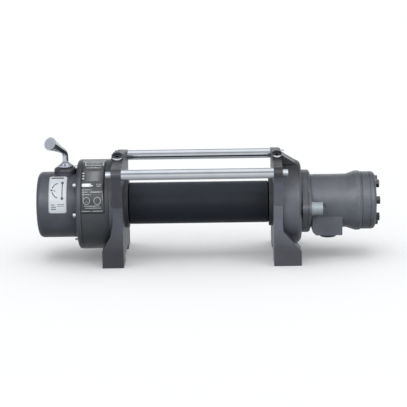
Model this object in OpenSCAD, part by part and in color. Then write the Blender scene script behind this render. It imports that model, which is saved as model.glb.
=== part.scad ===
/* [Mounting] */
// Height of the drum axis above the mounting face
axis_h = 82; // [80:1:88]
// Mounting holes, centre to centre along the drum
mount_pitch_x = 254; // [250:1:258]
// Mounting holes, centre to centre from front to rear
mount_pitch_y = 114.3; // [108:0.1:120]
// Radius of the four mounting holes
mount_hole_r = 5.25; // [4:0.05:6]
// Half depth of the feet, from the axis to the front face
foot_half_y = 76; // [72:1:84]
// Height of the arch between the front and rear feet
arch_h = 10; // [6:1:14]
// Half width of that arch
arch_half_y = 36; // [28:1:42]

/* [Drum supports] */
// Clear distance between the two drum supports
support_gap = 224; // [216:1:230]
// Thickness of the left support plate
left_plate_t = 15; // [13:0.5:18]
// Thickness of the left support at its round face
left_web_t = 20; // [18:0.5:24]
// Width of the left foot along the drum
left_foot_w = 32; // [28:1:36]
// Height of the left foot's straight outer edge
left_foot_h = 26; // [18:1:32]
// Thickness of the right support plate
right_plate_t = 13; // [12:0.5:16]
// Width of the right foot along the drum
right_foot_w = 41; // [34:1:44]
// Height of the right foot's straight outer edge
right_foot_h = 22; // [16:1:28]
// Radius of the round brake hub on the right support
hub_r = 63; // [61:1:66]
// Length of that hub beyond the support plate
hub_len = 30; // [28:1:36]
// Height of the supports' flat top above the axis
top_rise = 79.5; // [76:0.5:86]
// Half width of that flat top
top_half_y = 16; // [12:1:22]
// Distance of each tie rod in front of or behind the axis
rod_y = 77; // [72:1:82]
// Height of the tie rods above the axis
rod_rise = 60; // [56:1:66]
// Radius of the support's ears round the tie rods
rod_ear_r = 9; // [8.5:0.25:12]

/* [Tie rods] */
// Radius of the tie rods
rod_r = 7.75; // [6:0.25:9]
// Radius of the tie rod screws
rod_screw_r = 4; // [3:0.25:4.5]
// Radius of their heads
rod_head_r = 5.3; // [5.1:0.1:7]
// Height of their heads
rod_head_h = 8; // [5:0.5:10]
// How far those screws reach into the rods
rod_screw_grip = 20; // [12:1:30]

/* [Rope drum] */
// Radius of the drum barrel
drum_r = 31.75; // [29:0.25:34]
// Radius of the drum's journals
journal_r = 22; // [20:0.5:23]
// Radius of the hollow inside the barrel
drum_hollow_r = 24; // [20:0.5:25]
// Thickness of the drum's solid ends
drum_end_t = 18; // [16:1:24]
// Radius of the bushing flanges beside the barrel
bushing_flange_r = 37; // [34:0.5:40]
// Thickness of those flanges
bushing_flange_t = 5.6; // [3:0.1:7]
// Wall of the bushing sleeves
bushing_wall = 3; // [2:0.25:4]
// Radius of the rope's anchor hole
anchor_hole_r = 4.6; // [3:0.1:5]

/* [Gear case] */
// Outer radius of the gear case
case_r = 68.2; // [67:0.1:70]
// Wall of the gear case
case_wall = 4; // [3:0.25:4.5]
// Length of the gear case
case_len = 37; // [34:1:42]
// Thickness of the adapter plate
adapter_t = 6; // [4:0.5:8]
// Thickness of the end housing's flange
end_flange_t = 7; // [6:0.25:9]
// Step from the gear case down to the end housing
case_step = 18; // [17:0.1:18.6]
// Length of the end housing beyond its flange
end_len = 61; // [60:0.5:66]
// Wall of the end housing
end_wall = 4.3; // [3.7:0.1:4.7]
// Thickness of its end
end_cap_t = 8; // [6:0.5:10]
// Radius of its rounded end
end_round = 7.5; // [4:0.5:8]
// Number of case screws
case_screw_count = 8; // [6:1:10]
// Distance of the case screws from the rim of the gear case
case_screw_edge = 10.2; // [9.5:0.1:11]
// Radius of the case screws
case_screw_r = 2.5; // [2:0.25:3]
// Radius of the case screws' heads
case_head_r = 3.5; // [3.25:0.05:4.5]
// Height of the case screws' heads
case_head_h = 4.5; // [3.5:0.25:6]

/* [Gears] */
// Pressure angle of all gears
pressure_angle = 25; // [22:0.5:26]
// Wall of the output stage's ring gear outside its teeth
output_ring_wall = 13.7; // [13:0.1:15]
// Wall of the shift ring outside its teeth
shift_ring_wall = 3.625; // [3.325:0.025:5]
// Teeth of each sun gear
sun_teeth = 12; // [12:6:12]
// Teeth of each planet gear
planet_teeth = 18; // [18:6:18]
// Width of the output stage's planets
output_width = 26; // [22:1:27]
// Width of the input stage's planets
input_width = 20; // [14:1:21]
// Wall of the input sun gear round the drive shaft
sun_wall = 2.125; // [1.875:0.025:3]

/* [Clutch] */
// Distance of the lever axis from the end housing's flange
lever_offset = 19.1; // [18.6:0.1:20.4]
// Radius of the lever boss
lever_boss_r = 17.5; // [15:0.5:18]
// Height of the lever boss above the end housing
lever_boss_h = 8.2; // [7:0.1:11]
// Offset of the shift pin from the lever axis
crank_e = 4; // [3.5:0.1:4]
// Radius of the shift pin
crank_pin_r = 3; // [2.5:0.1:3]
// Radius of the lever's skirt
skirt_r = 11.75; // [10:0.25:13]
// Radius of the lever's neck
neck_r = 4.5; // [4:0.25:5.5]
// Length of the lever's straight neck above its boss
neck_len = 16.9; // [12:0.1:22]
// Radius of that bend
bend_r = 10; // [8:0.5:14]
// Length of the lever's handle
handle_len = 36; // [30:1:44]
// Radius of the handle's flared end
handle_end_r = 10; // [8:0.5:12]
// Angle of the handle above level
handle_rise_angle = 27; // [10:1:35]
// Angle of the handle outboard of straight ahead
handle_out_angle = 29.6; // [0:0.1:40]

/* [Motor] */
// Thickness of the motor flange
flange_t = 13.1; // [11:0.1:15]
// Radius of the motor flange
flange_r = 47.8; // [46:0.1:50]
// Distance of the flange bolts from the axis
flange_bolt_y = 53.2; // [51.5:0.1:54]
// Radius of the motor's locating spigot
spigot_r = 41.2; // [40:0.05:42]
// Radius of the motor body
motor_r = 40.7; // [40:0.1:42]
// Length of the motor body
motor_len = 72.2; // [70:0.2:80]
// Radius of the motor body's flare before the rear section
flare_r = 45.3; // [44.2:0.1:47]
// Radius of the motor's rear section
rear_r = 43.8; // [42.5:0.1:44]
// Thickness of the spacer plate
spacer_t = 5; // [4:0.5:8]
// Width of the rotor section
rotor_w = 12; // [9:0.5:18]
// Thickness of the motor's end cap
cap_t = 9.5; // [9:0.5:14]
// Radius of the motor shaft's end
shaft_end_r = 12.7; // [11:0.1:13]
// Radius of the ports
port_r = 7.6; // [6:0.1:8]
// Distance of each port in front of or behind the axis
port_y = 14; // [12:0.5:16]

/* [Hidden] */
$fn = 64;

// Overrun of every cut, and the clearances of running fits, fixed fits and free gaps
over = 1;
run_gap = 0.05;
fit_gap = 0.03;
free_gap = 0.35;

// Stations along the drum axis, from the supports outward
left_in = -support_gap / 2;
left_plate_x = left_in - left_plate_t;
left_out = left_in - left_web_t;
adapter_x = left_out - adapter_t;
case_x = adapter_x - case_len;
gasket_t = 0.5;
flange_right_x = case_x - gasket_t;
flange_x = flange_right_x - end_flange_t;
end_x = flange_x - end_len;
end_in_x = end_x + end_cap_t;
lever_x = flange_x - lever_offset;
right_in = support_gap / 2;
right_plate_x = right_in + right_plate_t;
hub_x = right_plate_x + hub_len;
motor_gap = 0.7;
motor_x = hub_x + motor_gap;
body_x = motor_x + flange_t;
spacer_x = body_x + motor_len;
rotor_x = spacer_x + spacer_t;
cap_x = rotor_x + rotor_w;
motor_end_x = cap_x + cap_t;

// Outline of the supports in front and side view
waist_rise = 9;
waist_margin = 3.3;
waist_y = case_r + waist_margin;
slope_y = 38;
slope_rise = 72.5;
foot_line_rise = 50;
left_outer_x = left_in - left_foot_w;
right_outer_x = right_in + right_foot_w;
left_bevel_h = 21;
right_bevel_h = 30;
right_step_h = 12;
case_clear = 0.8;

// Screws through the gear case: turn of the first one and reach into the support
case_screw_turn = 184;
case_screw_grip = 10;
gusset_half_y = 16;
gusset_top_len = 6;
gusset_end_rise = 60;
gusset_short = 5;
foot_gap_half_y = 44;
hub_edge_r = 8;

// Hexagon nuts in the feet and the slots that hold them
nut_r = 9.2;
nut_h = 8;
nut_bore_r = 4.3;
nut_gap = 0.2;
nut_slot_z = 11;
nut_slot_in = 10.5;
mount_hole_h = 30;
hex_flat_share = sqrt(3) / 2;

// Tilted boss on top of each support, with its bracket screw
boss_y = -28;
boss_rise = 80.2;
boss_tilt = 25;
left_boss_r = 8.6;
right_boss_r = 7.1;
boss_root = 15.3;
boss_len = boss_rise - top_rise + boss_root;
boss_inset = 1.2;
left_boss_x = left_plate_x + left_plate_t / 2 - boss_inset;
right_boss_x = right_in + right_plate_t / 2;
bracket_seat_r = 6.1;
bracket_seat_h = 7;
bracket_head_r = 5.6;
bracket_head_h = 5;
bracket_screw_r = 3.5;
bracket_screw_len = 15;
key_share = 0.5;
key_depth_share = 0.55;

// Bushings, seals and the rope drum
bushing_bore_r = journal_r + run_gap;
bushing_r = bushing_bore_r + bushing_wall;
seat_r = bushing_r + fit_gap;
seal_t = 5;
seal_r = 30;
seal_seat_r = seal_r + fit_gap;
barrel_half = support_gap / 2 - bushing_flange_t - free_gap;
left_journal_x = left_out - over;
right_journal_x = right_plate_x - free_gap;
shaft_way_r = 8;
drum_edge = 1.5;
spline_r = 14;
spline_h = 2.2;
spline_w = 5;
spline_count = 8;
spline_len = 20;
anchor_rise = 19;
anchor_x = -barrel_half + drum_end_t / 2;
anchor_screw_y = 9;
anchor_screw_r = 3;
anchor_screw_len = 6;

// Gear modules, worked out from the room inside the housings, and the sizes that follow
tooth_play = 0.1;
flank_steps = 3;
planet_count = 3;
planet_angles = [for (i = [0 : planet_count - 1]) 360 * i / planet_count];
ring_teeth = sun_teeth + 2 * planet_teeth;
dedendum_share = 1.25;
ring_tip_share = 0.9;
case_in_r = case_r - case_wall;
case_screw_circle = case_r - case_screw_edge;
end_r = case_r - case_step;
end_in_r = end_r - end_wall;
shift_gap = 0.9;
collar_h = 3.5;
dog_h = 3.1;
ring_collar_r = end_in_r - shift_gap;
ring_body_r = ring_collar_r - collar_h;
dog_r = ring_body_r + dog_h;
output_module = (case_in_r - output_ring_wall) / (ring_teeth / 2 + dedendum_share);
input_module = (ring_body_r - shift_ring_wall) / (ring_teeth / 2 + dedendum_share);
drive_r = input_module * (sun_teeth / 2 - dedendum_share) - sun_wall;
output_orbit_r = output_module * (sun_teeth + planet_teeth) / 2;
output_ring_tip_r = output_module * (ring_teeth / 2 - ring_tip_share);
input_orbit_r = input_module * (sun_teeth + planet_teeth) / 2;
input_ring_tip_r = input_module * (ring_teeth / 2 - ring_tip_share);
carrier_gap = 1.4;
sun_hub_r = 9.8;
sun_bore_gap = 0.6;

// Output stage, between the adapter plate and the divider
output_plate_t = 7;
output_plate_gap = 2.5;
output_outer_plate_t = 4.5;
output_plate_x = left_out - output_plate_gap - output_plate_t;
output_gear_x = output_plate_x - free_gap - output_width;
output_outer_x = output_gear_x - free_gap - output_outer_plate_t;
output_carrier_r = output_ring_tip_r - carrier_gap;
output_pin_r = 6;
output_post_r = 7;
output_post_edge = 1.8;
output_post_orbit_r = output_carrier_r - output_post_r - output_post_edge;
divider_t = 5;
divider_x = flange_right_x - divider_t;
divider_bore_r = 13;

// Shift ring with its groove and dogs, and the lock ring that holds it
dog_count = 12;
dog_play_angle = 1;
ring_collar_t = 1.5;
left_collar_t = 3;
dog_len = 5.3;
pin_sway_share = 0.21;
shift_travel = 2 * crank_e;
groove_x = lever_x + crank_e;
groove_half = crank_pin_r + crank_e * pin_sway_share + free_gap;
dog_x = groove_x + groove_half + ring_collar_t;
ring_room = 3;
ring_left_x = end_in_x + shift_travel + ring_room;
lock_wall = 1.95;
lock_r = ring_collar_r + free_gap + lock_wall;
divider_step = 1.7;
divider_r = lock_r + divider_step;
lock_tip_r = ring_body_r + free_gap;

// Input stage, inside the shift ring
input_plate_t = 5;
input_outer_plate_t = 4.5;
input_gear_x = ring_left_x + over;
input_plate_x = input_gear_x + input_width + free_gap;
input_outer_x = input_gear_x - free_gap - input_outer_plate_t;
input_carrier_r = input_ring_tip_r - carrier_gap;
input_pin_r = 4;
input_post_r = 5.2;
input_post_edge = 1.55;
input_post_orbit_r = input_carrier_r - input_post_r - input_post_edge;
pad_r = 9;
pad_recess = 2;
pad_floor_t = 3.5;
pad_len = 7.3;
pad_x = end_in_x - pad_recess;
shaft_left_x = pad_x + pad_floor_t + free_gap;

// Shift lever and crank
crank_r = 8;
crank_t = 3;
crank_rise = end_in_r + free_gap;
crank_hub_h = 3.9;
crank_tip_rise = ring_body_r + free_gap;
rod_end_rise = crank_rise + crank_t;
lever_bush_r = 8;
lever_bush_z = rod_end_rise + crank_hub_h;
lever_boss_rise = end_r + lever_boss_h;
bend_rise = lever_boss_rise + neck_len;
skirt_rise = lever_boss_rise + free_gap;
skirt_rim_h = 1.2;
skirt_waist_r = 6.5;
skirt_waist_h = 5.6;
skirt_h = 8.6;
boss_edge_r = 5;
bend_lap = 1;
bend_shy = 0.12;
flare_power = 1.3;
flare_steps = 8;
handle_edge = 1;

// Brake in the right hub
partition_t = 3;
brake_x = right_plate_x + partition_t;
spigot_len = 6;
spigot_x = hub_x - spigot_len;
cavity_r = spigot_r + fit_gap;
steel_t = 2;
friction_t = 2.4;
steel_count = 3;
brake_pitch = steel_t + friction_t + 2 * free_gap;
plate_r = spigot_r - free_gap;
plate_bore_r = 23;
pressure_t = 4.5;
stack_x = spigot_x - steel_t - (steel_count - 1) * brake_pitch;
pressure_x = stack_x - fit_gap - pressure_t;
torque_pin_r = 3;
torque_pin_orbit_r = 39.8;
friction_r = torque_pin_orbit_r - torque_pin_r - free_gap;
torque_pin_sink = 2;
torque_pin_turn = 30;
spring_t = 1.8;
spring_bore_r = 24;
coupling_r = 21.9;
coupling_x = brake_x + free_gap;
coupling_end_x = motor_x;
coupling_web = 1;
hex_grip = 12.5;

// Motor internals
flange_ear_r = 11.8;
motor_bolt_r = 6.3;
motor_bolt_head_r = 9.8;
motor_bolt_head_h = 11.5;
motor_bolt_grip = 20;
washer_r = 10.6;
washer_t = 2.2;
lock_washer_r = 10;
lock_washer_t = 2.8;
bolt_pocket_r = 13.5;
bolt_pocket_len = 22;
seal_x = motor_x + 2;
motor_seal_t = 6;
motor_seal_r = 20;
shaft_body_r = 16;
shaft_body_x = seal_x + motor_seal_t + over;
shaft_body_len = 46;
bearing_len = 20;
bearing_r = 21;
motor_way_r = 17;
link_socket_len = 15;
link_spline_r = 8;
link_spline_h = 1.4;
link_spline_w = 3;
link_neck_r = 6;
link_end_r = 7;
link_gap = 0.5;
spacer_bore_r = 10;
roller_orbit_r = 22;
roller_r = 5.5;
roller_count = 7;
rotor_e = 2.1;
rotor_ring_bore_r = 21.1;
star_play = 0.18;
star_bore_r = 9.6;
star_steps = 168;
flare_start_share = 0.77;
flare_top_share = 0.96;
spacer_edge_share = 0.4;
flange_edge_r = 4.5;
rear_edge = 6;
cap_bolt_turn = 168;
cap_bolt_orbit_r = 32;
cap_bolt_r = 3.5;
cap_bolt_head_r = 6.6;
cap_bolt_head_h = 5.3;
cap_bolt_grip = 12;
seam = 1;
block_left = 2.5;
block_len = 45;
block_top = 15;
block_drop = 45.7;
block_half_y = 37;
block_bevel = 5.5;
port_offset = 27.2;
port_x = body_x + port_offset;
port_boss_r = 12;
port_boss_drop = 51.8;
port_depth = 18;
gallery_r = 3.5;
gallery_rise = 12;

// Labels: thickness, edges and angles above the front
label_t = 0.3;
case_label_margin = 1;
case_label_low = 3;
case_label_high = 86;
end_label_inset = 19.2;
end_label_x = end_x + end_label_inset;
end_label_w = 27;
end_label_low = -3;
end_label_high = 69;

// Stands children on the drum axis: local z runs along the drum, local y is up
module on_axis(x = 0) {
    translate([x, 0, axis_h]) rotate([90, 0, 90]) children();
}

module tube(r_out, r_in, h) {
    difference() {
        cylinder(r = r_out, h = h);
        translate([0, 0, -over]) cylinder(r = r_in, h = h + 2 * over);
    }
}

// Repeats children round the local z axis, the first one at the given angle
module around(count, first = 0) {
    for (i = [0 : count - 1]) rotate(first + 360 * i / count) children();
}

// Involute of an angle, and half the angle that a tooth takes up at radius r
function inv(a) = tan(a) * 180 / PI - a;
function half_tooth(n, pitch_r, r, play) =
    let (base_r = pitch_r * cos(pressure_angle))
    90 / n - play / pitch_r * 180 / PI + inv(pressure_angle) - inv(acos(base_r / max(r, base_r)));

// Outline of n involute teeth; a negative play widens them, for a ring gear's hole
function gear_points(n, module_size, root_r, tip_r, play) = [
    for (i = [0 : n - 1], side = [-1, 1], k = side < 0 ? [0 : flank_steps] : [flank_steps : -1 : 0])
    let (r = root_r + (tip_r - root_r) * k / flank_steps)
    let (a = 360 * i / n + side * half_tooth(n, module_size * n / 2, r, play))
    r * [cos(a), sin(a)]];

module outer_gear(n, module_size) {
    polygon(gear_points(n, module_size, module_size * (n / 2 - dedendum_share),
        module_size * (n / 2 + 1), tooth_play));
}

module ring_hole(module_size) {
    n = ring_teeth;
    rotate(180 / n) polygon(gear_points(n, module_size, module_size * (n / 2 - ring_tip_share),
        module_size * (n / 2 + dedendum_share), -tooth_play));
}

// One planet gear at its place in the stage, meshing with sun and ring at rest
module planet(x, orbit_r, module_size, width, pin_r, angle) {
    on_axis(x) rotate(angle) translate([orbit_r, 0, 0]) difference() {
        rotate(180 / planet_teeth) linear_extrude(width) outer_gear(planet_teeth, module_size);
        translate([0, 0, -over]) cylinder(r = pin_r + run_gap, h = width + 2 * over);
    }
}

// Round shaft section with straight splines; grow widens it into a socket
module splined(r, rise, w, count, h, grow = 0) {
    linear_extrude(h) {
        circle(r = r + grow);
        around(count) translate([0, -w / 2 - grow]) square([r + rise + grow, w + 2 * grow]);
    }
}

// Socket head screw along local z, with its head above z = 0 and its shank below
module cap_screw(r, len, head_r, head_h) {
    difference() {
        union() {
            translate([0, 0, -len]) cylinder(r = r, h = len + head_h / 2);
            cylinder(r = head_r, h = head_h);
        }
        translate([0, 0, head_h * (1 - key_depth_share)])
            cylinder(r = head_r * key_share, h = head_h, $fn = 6);
    }
}

// Hexagon head screw along local z, with its head above z = 0 and its shank below
module hex_screw(r, len, head_r, head_h) {
    translate([0, 0, -len]) cylinder(r = r, h = len + head_h / 2);
    cylinder(r = head_r, h = head_h, $fn = 6);
}

// Side view of a support, from the foot to its flat top, with local y = 0 on the axis
module support_outline() {
    half = [[top_half_y, top_rise], [slope_y, slope_rise], [rod_y, rod_rise + rod_ear_r],
        [rod_y + rod_ear_r, rod_rise], [waist_y, waist_rise], [foot_half_y, -foot_line_rise],
        [foot_half_y, -axis_h]];
    last = len(half) - 1;
    polygon(concat(half, [for (i = [last : -1 : 0]) [-half[i][0], half[i][1]]]));
    for (side = [-1, 1]) translate([side * rod_y, rod_rise]) circle(r = rod_ear_r);
}

// Cuts that both supports share: tie rod holes, mounting holes, nut slots and arch.
// side is -1 for the left support and 1 for the right one
module support_cuts(side, outer_x) {
    for (y = [-1, 1]) {
        on_axis(0) translate([y * rod_y, rod_rise, side > 0 ? right_in - over : -right_in - left_foot_w])
            cylinder(r = rod_screw_r + free_gap / 2, h = left_foot_w + over);
        translate([side * mount_pitch_x / 2, y * mount_pitch_y / 2, -over])
            cylinder(r = mount_hole_r, h = mount_hole_h + over);
        nut_slot(side, outer_x, y);
    }
    boss_place(side) bracket_seat();
    translate([min(side * right_in, outer_x) - over, -arch_half_y, -over])
        cube([abs(outer_x) - right_in + 2 * over, 2 * arch_half_y, arch_h + over]);
}

module nut_slot(side, outer_x, y) {
    slot_w = 2 * (nut_r * hex_flat_share + nut_gap);
    inner = side * (mount_pitch_x / 2 - nut_slot_in);
    outer = outer_x + side * over;
    translate([min(inner, outer), y * mount_pitch_y / 2 - slot_w / 2, nut_slot_z])
        cube([abs(outer - inner), slot_w, nut_h + 2 * nut_gap]);
}

// Puts children at the tilted boss of the left (side = -1) or right (side = 1) support
module boss_place(side) {
    translate([side < 0 ? left_boss_x : right_boss_x, boss_y, axis_h + boss_rise])
        rotate([boss_tilt, 0, 0]) children();
}

module bracket_seat() {
    translate([0, 0, -bracket_seat_h]) cylinder(r = bracket_seat_r, h = bracket_seat_h + over);
    translate([0, 0, -bracket_seat_h - bracket_screw_len - fit_gap])
        cylinder(r = bracket_screw_r + fit_gap, h = bracket_screw_len + over);
}

module support_boss(side) {
    boss_place(side) translate([0, 0, -boss_len])
        cylinder(r = side < 0 ? left_boss_r : right_boss_r, h = boss_len);
}

// Plate and feet of a support: its front profile cut to the side outline, with the space
// between the front and rear feet taken out beyond the plate
module plate_and_feet(outer_x, plate_x) {
    width = abs(outer_x) - right_in;
    difference() {
        intersection() {
            on_axis(min(outer_x, plate_x) - 2 * width) linear_extrude(4 * width) support_outline();
            translate([0, foot_half_y + rod_y, 0]) rotate([90, 0, 0])
                linear_extrude(2 * (foot_half_y + rod_y)) children();
        }
        translate([outer_x > 0 ? plate_x : outer_x - over, -foot_gap_half_y, -over])
            cube([abs(outer_x - plate_x) + over, 2 * foot_gap_half_y, axis_h]);
    }
}

// Profile of the left support, seen from the front
module left_profile() {
    polygon([[left_in, 0], [left_outer_x, 0], [left_outer_x, left_foot_h],
        [left_out + over, left_foot_h + left_bevel_h], [left_plate_x, left_foot_h + 2 * left_bevel_h],
        [left_plate_x, axis_h + 2 * top_rise], [left_in, axis_h + 2 * top_rise]]);
}

module left_drum_support() {
    color("#4a4a52") difference() {
        union() {
            plate_and_feet(left_outer_x, left_plate_x) left_profile();
            on_axis(left_out) linear_extrude(left_web_t) intersection() {
                circle(r = waist_y - free_gap);
                support_outline();
            }
            support_boss(-1);
        }
        on_axis(left_out - 2 * left_foot_w) cylinder(r = case_r + case_clear, h = 2 * left_foot_w);
        on_axis(left_out - over) cylinder(r = seat_r, h = left_web_t + 2 * over);
        on_axis(left_out - over) cylinder(r = seal_seat_r, h = seal_t + fit_gap + over);
        on_axis(left_out - over) around(case_screw_count, case_screw_turn)
            translate([case_screw_circle, 0, 0])
            cylinder(r = case_screw_r + fit_gap, h = case_screw_grip + 2 * over);
        support_cuts(-1, left_outer_x);
    }
}

// Profile of the right support, seen from the front
module right_profile() {
    polygon([[right_in, 0], [right_outer_x, 0], [right_outer_x, right_foot_h],
        [right_plate_x + over, right_foot_h + right_bevel_h],
        [right_plate_x, right_foot_h + right_bevel_h + right_step_h],
        [right_plate_x, axis_h + 2 * top_rise], [right_in, axis_h + 2 * top_rise]]);
}

module right_drum_support() {
    color("#4c4c54") difference() {
        union() {
            plate_and_feet(right_outer_x, right_plate_x) right_profile();
            on_axis(right_in) rotate_extrude() rounded_section(hub_r, right_plate_t + hub_len, hub_edge_r);
            translate([0, gusset_half_y, axis_h]) rotate([90, 0, 0]) linear_extrude(2 * gusset_half_y)
                polygon([[right_in + over, top_rise], [right_in + gusset_top_len, top_rise],
                    [hub_x - gusset_short, gusset_end_rise], [hub_x - gusset_short, 0],
                    [right_in + over, 0]]);
            support_boss(1);
        }
        on_axis(right_in - over) cylinder(r = seat_r, h = right_plate_t - seal_t + over);
        on_axis(right_plate_x - seal_t - fit_gap) cylinder(r = seal_seat_r, h = seal_t + fit_gap);
        on_axis(right_in) cylinder(r = shaft_way_r, h = right_plate_t + partition_t + over);
        on_axis(brake_x) cylinder(r = cavity_r, h = hub_len + over);
        on_axis(brake_x - torque_pin_sink) around(steel_count, torque_pin_turn)
            translate([torque_pin_orbit_r, 0, 0]) cylinder(r = torque_pin_r + fit_gap, h = hub_len + over);
        for (y = [-1, 1]) on_axis(hub_x - motor_bolt_grip - over) translate([y * flange_bolt_y, 0, 0])
            cylinder(r = motor_bolt_r + fit_gap, h = motor_bolt_grip + 2 * over);
        support_cuts(1, right_outer_x);
    }
}

module tie_rod(y) {
    color("#e6e9ec") on_axis(left_in) translate([y * rod_y, rod_rise, 0]) difference() {
        cylinder(r = rod_r, h = support_gap);
        for (z = [-over, support_gap - rod_screw_grip - over]) translate([0, 0, z])
            cylinder(r = rod_screw_r + fit_gap, h = rod_screw_grip + 2 * over);
    }
}

module tie_rod_front() { tie_rod(-1); }
module tie_rod_rear() { tie_rod(1); }

module tie_rod_screws() {
    color("#dfe3e6") for (y = [-1, 1]) {
        on_axis(left_plate_x) translate([y * rod_y, rod_rise, 0]) rotate([180, 0, 0])
            cap_screw(rod_screw_r, left_plate_t + rod_screw_grip, rod_head_r, rod_head_h);
        on_axis(right_plate_x) translate([y * rod_y, rod_rise, 0])
            cap_screw(rod_screw_r, right_plate_t + rod_screw_grip, rod_head_r, rod_head_h);
    }
}

module bracket_screws() {
    color("#2c2d31") for (side = [-1, 1]) boss_place(side) translate([0, 0, -bracket_seat_h])
        cap_screw(bracket_screw_r, bracket_screw_len, bracket_head_r, bracket_head_h);
}

module mounting_nuts() {
    color("#c9ccd0") for (side = [-1, 1], y = [-1, 1])
        translate([side * mount_pitch_x / 2, y * mount_pitch_y / 2, nut_slot_z]) difference() {
            cylinder(r = nut_r, h = nut_h, $fn = 6);
            translate([0, 0, -over]) cylinder(r = nut_bore_r, h = nut_h + 2 * over);
        }
}

// Flanged bushing; its flange lies beside the drum barrel, its sleeve in the support
module bushing(sleeve_len) {
    difference() {
        union() {
            cylinder(r = bushing_r, h = bushing_flange_t + sleeve_len);
            cylinder(r = bushing_flange_r, h = bushing_flange_t);
        }
        translate([0, 0, -over]) cylinder(r = bushing_bore_r, h = bushing_flange_t + sleeve_len + 2 * over);
    }
}

module left_drum_bushing() {
    color("#1d1d20") on_axis(left_in + bushing_flange_t) rotate([180, 0, 0])
        bushing(left_web_t - seal_t - free_gap);
}

module right_drum_bushing() {
    color("#1d1d20") on_axis(right_in - bushing_flange_t) bushing(right_plate_t - seal_t - free_gap);
}

module drum_seals() {
    color("#17171a") {
        on_axis(left_out) tube(seal_r, bushing_bore_r, seal_t);
        on_axis(right_plate_x - seal_t) tube(seal_r, bushing_bore_r, seal_t);
    }
}

module rope_drum() {
    socket_h = barrel_half + left_journal_x;
    color("#26262c") on_axis(0) difference() {
        union() {
            rotate_extrude() polygon([[0, left_journal_x], [journal_r - drum_edge, left_journal_x],
                [journal_r, left_journal_x + drum_edge], [journal_r, -barrel_half],
                [drum_r - drum_edge, -barrel_half], [drum_r, -barrel_half + drum_edge],
                [drum_r, barrel_half - drum_edge], [drum_r - drum_edge, barrel_half],
                [journal_r, barrel_half], [journal_r, right_journal_x - drum_edge],
                [journal_r - drum_edge, right_journal_x], [0, right_journal_x]]);
        }
        translate([0, 0, -barrel_half + drum_end_t])
            cylinder(r = drum_hollow_r, h = 2 * barrel_half - 2 * drum_end_t);
        translate([0, 0, left_journal_x - over])
            cylinder(r = shaft_way_r, h = right_journal_x - left_journal_x + 2 * over);
        translate([0, 0, left_journal_x - over])
            splined(spline_r, spline_h, spline_w, spline_count, spline_len + over, run_gap);
        translate([0, anchor_rise, anchor_x]) rotate([0, 90, 0]) cylinder(r = anchor_hole_r, h = drum_r);
        translate([anchor_screw_y, 0, anchor_x]) rotate([-90, 0, 0])
            translate([0, 0, anchor_rise]) cylinder(r = anchor_screw_r + fit_gap, h = drum_r);
    }
}

module rope_anchor_screw() {
    top = sqrt(drum_r * drum_r - anchor_screw_y * anchor_screw_y) - free_gap;
    color("#8c8f94") on_axis(anchor_x) translate([anchor_screw_y, top - anchor_screw_len, 0])
        rotate([-90, 0, 0])
        difference() {
            cylinder(r = anchor_screw_r, h = anchor_screw_len);
            translate([0, 0, anchor_screw_len * key_share])
                cylinder(r = anchor_screw_r * key_share, h = anchor_screw_len, $fn = 6);
        }
}

module case_screw_holes(h) {
    translate([0, 0, -over]) around(case_screw_count, case_screw_turn) translate([case_screw_circle, 0, 0])
        cylinder(r = case_screw_r + fit_gap, h = h + 2 * over);
}

module adapter_plate() {
    color("#36363c") on_axis(adapter_x) difference() {
        tube(case_r, output_carrier_r + carrier_gap, adapter_t);
        case_screw_holes(adapter_t);
    }
}

module gear_housing() {
    color("#4d4d55") on_axis(case_x) tube(case_r, case_in_r, case_len);
}

module case_gasket() {
    color("#20343a") on_axis(flange_right_x) difference() {
        tube(case_r, divider_r, gasket_t);
        case_screw_holes(gasket_t);
    }
}

module output_ring_gear() {
    color("#7d7f84") on_axis(case_x) difference() {
        cylinder(r = case_in_r - fit_gap, h = case_len);
        translate([0, 0, -over]) linear_extrude(case_len + 2 * over) ring_hole(output_module);
        case_screw_holes(case_len);
    }
}

// Planet carrier of two plates joined by posts between the planets; the way in the middle
// goes through the outer plate, or through both
module carrier(r, plate_t, outer_t, width, orbit_r, pin_r, post_orbit_r, post_r, way_r, through) {
    h = outer_t + width + 2 * free_gap + plate_t;
    difference() {
        union() {
            cylinder(r = r, h = outer_t);
            translate([0, 0, h - plate_t]) cylinder(r = r, h = plate_t);
            around(planet_count, 180 / planet_count) translate([post_orbit_r, 0, 0])
                cylinder(r = post_r, h = h);
        }
        around(planet_count) translate([orbit_r, 0, -over]) cylinder(r = pin_r + fit_gap, h = h + 2 * over);
        translate([0, 0, -over]) cylinder(r = way_r, h = through ? h + 2 * over : outer_t + 2 * over);
    }
}

module output_carrier() {
    color("#6d6f75") on_axis(output_outer_x) difference() {
        h = output_plate_x + output_plate_t - output_outer_x;
        union() {
            carrier(output_carrier_r, output_plate_t, output_outer_plate_t, output_width, output_orbit_r,
                output_pin_r, output_post_orbit_r, output_post_r,
                    output_module * (sun_teeth / 2 + 1) + over, false);
            translate([0, 0, h - over]) splined(spline_r, spline_h, spline_w, spline_count,
                left_journal_x + spline_len - output_plate_x - output_plate_t + over - free_gap);
        }
        translate([0, 0, -over]) cylinder(r = shaft_way_r, h = h + 2 * spline_len);
    }
}

module output_planet_pins() {
    color("#b9bcc0") on_axis(output_outer_x) around(planet_count) translate([output_orbit_r, 0, 0])
        cylinder(r = output_pin_r, h = output_plate_x + output_plate_t - output_outer_x);
}

module output_planet(i) {
    color("#9a9ca1") planet(output_gear_x, output_orbit_r, output_module, output_width, output_pin_r,
        planet_angles[i]);
}

module output_planet_1() { output_planet(0); }
module output_planet_2() { output_planet(1); }
module output_planet_3() { output_planet(2); }

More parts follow.
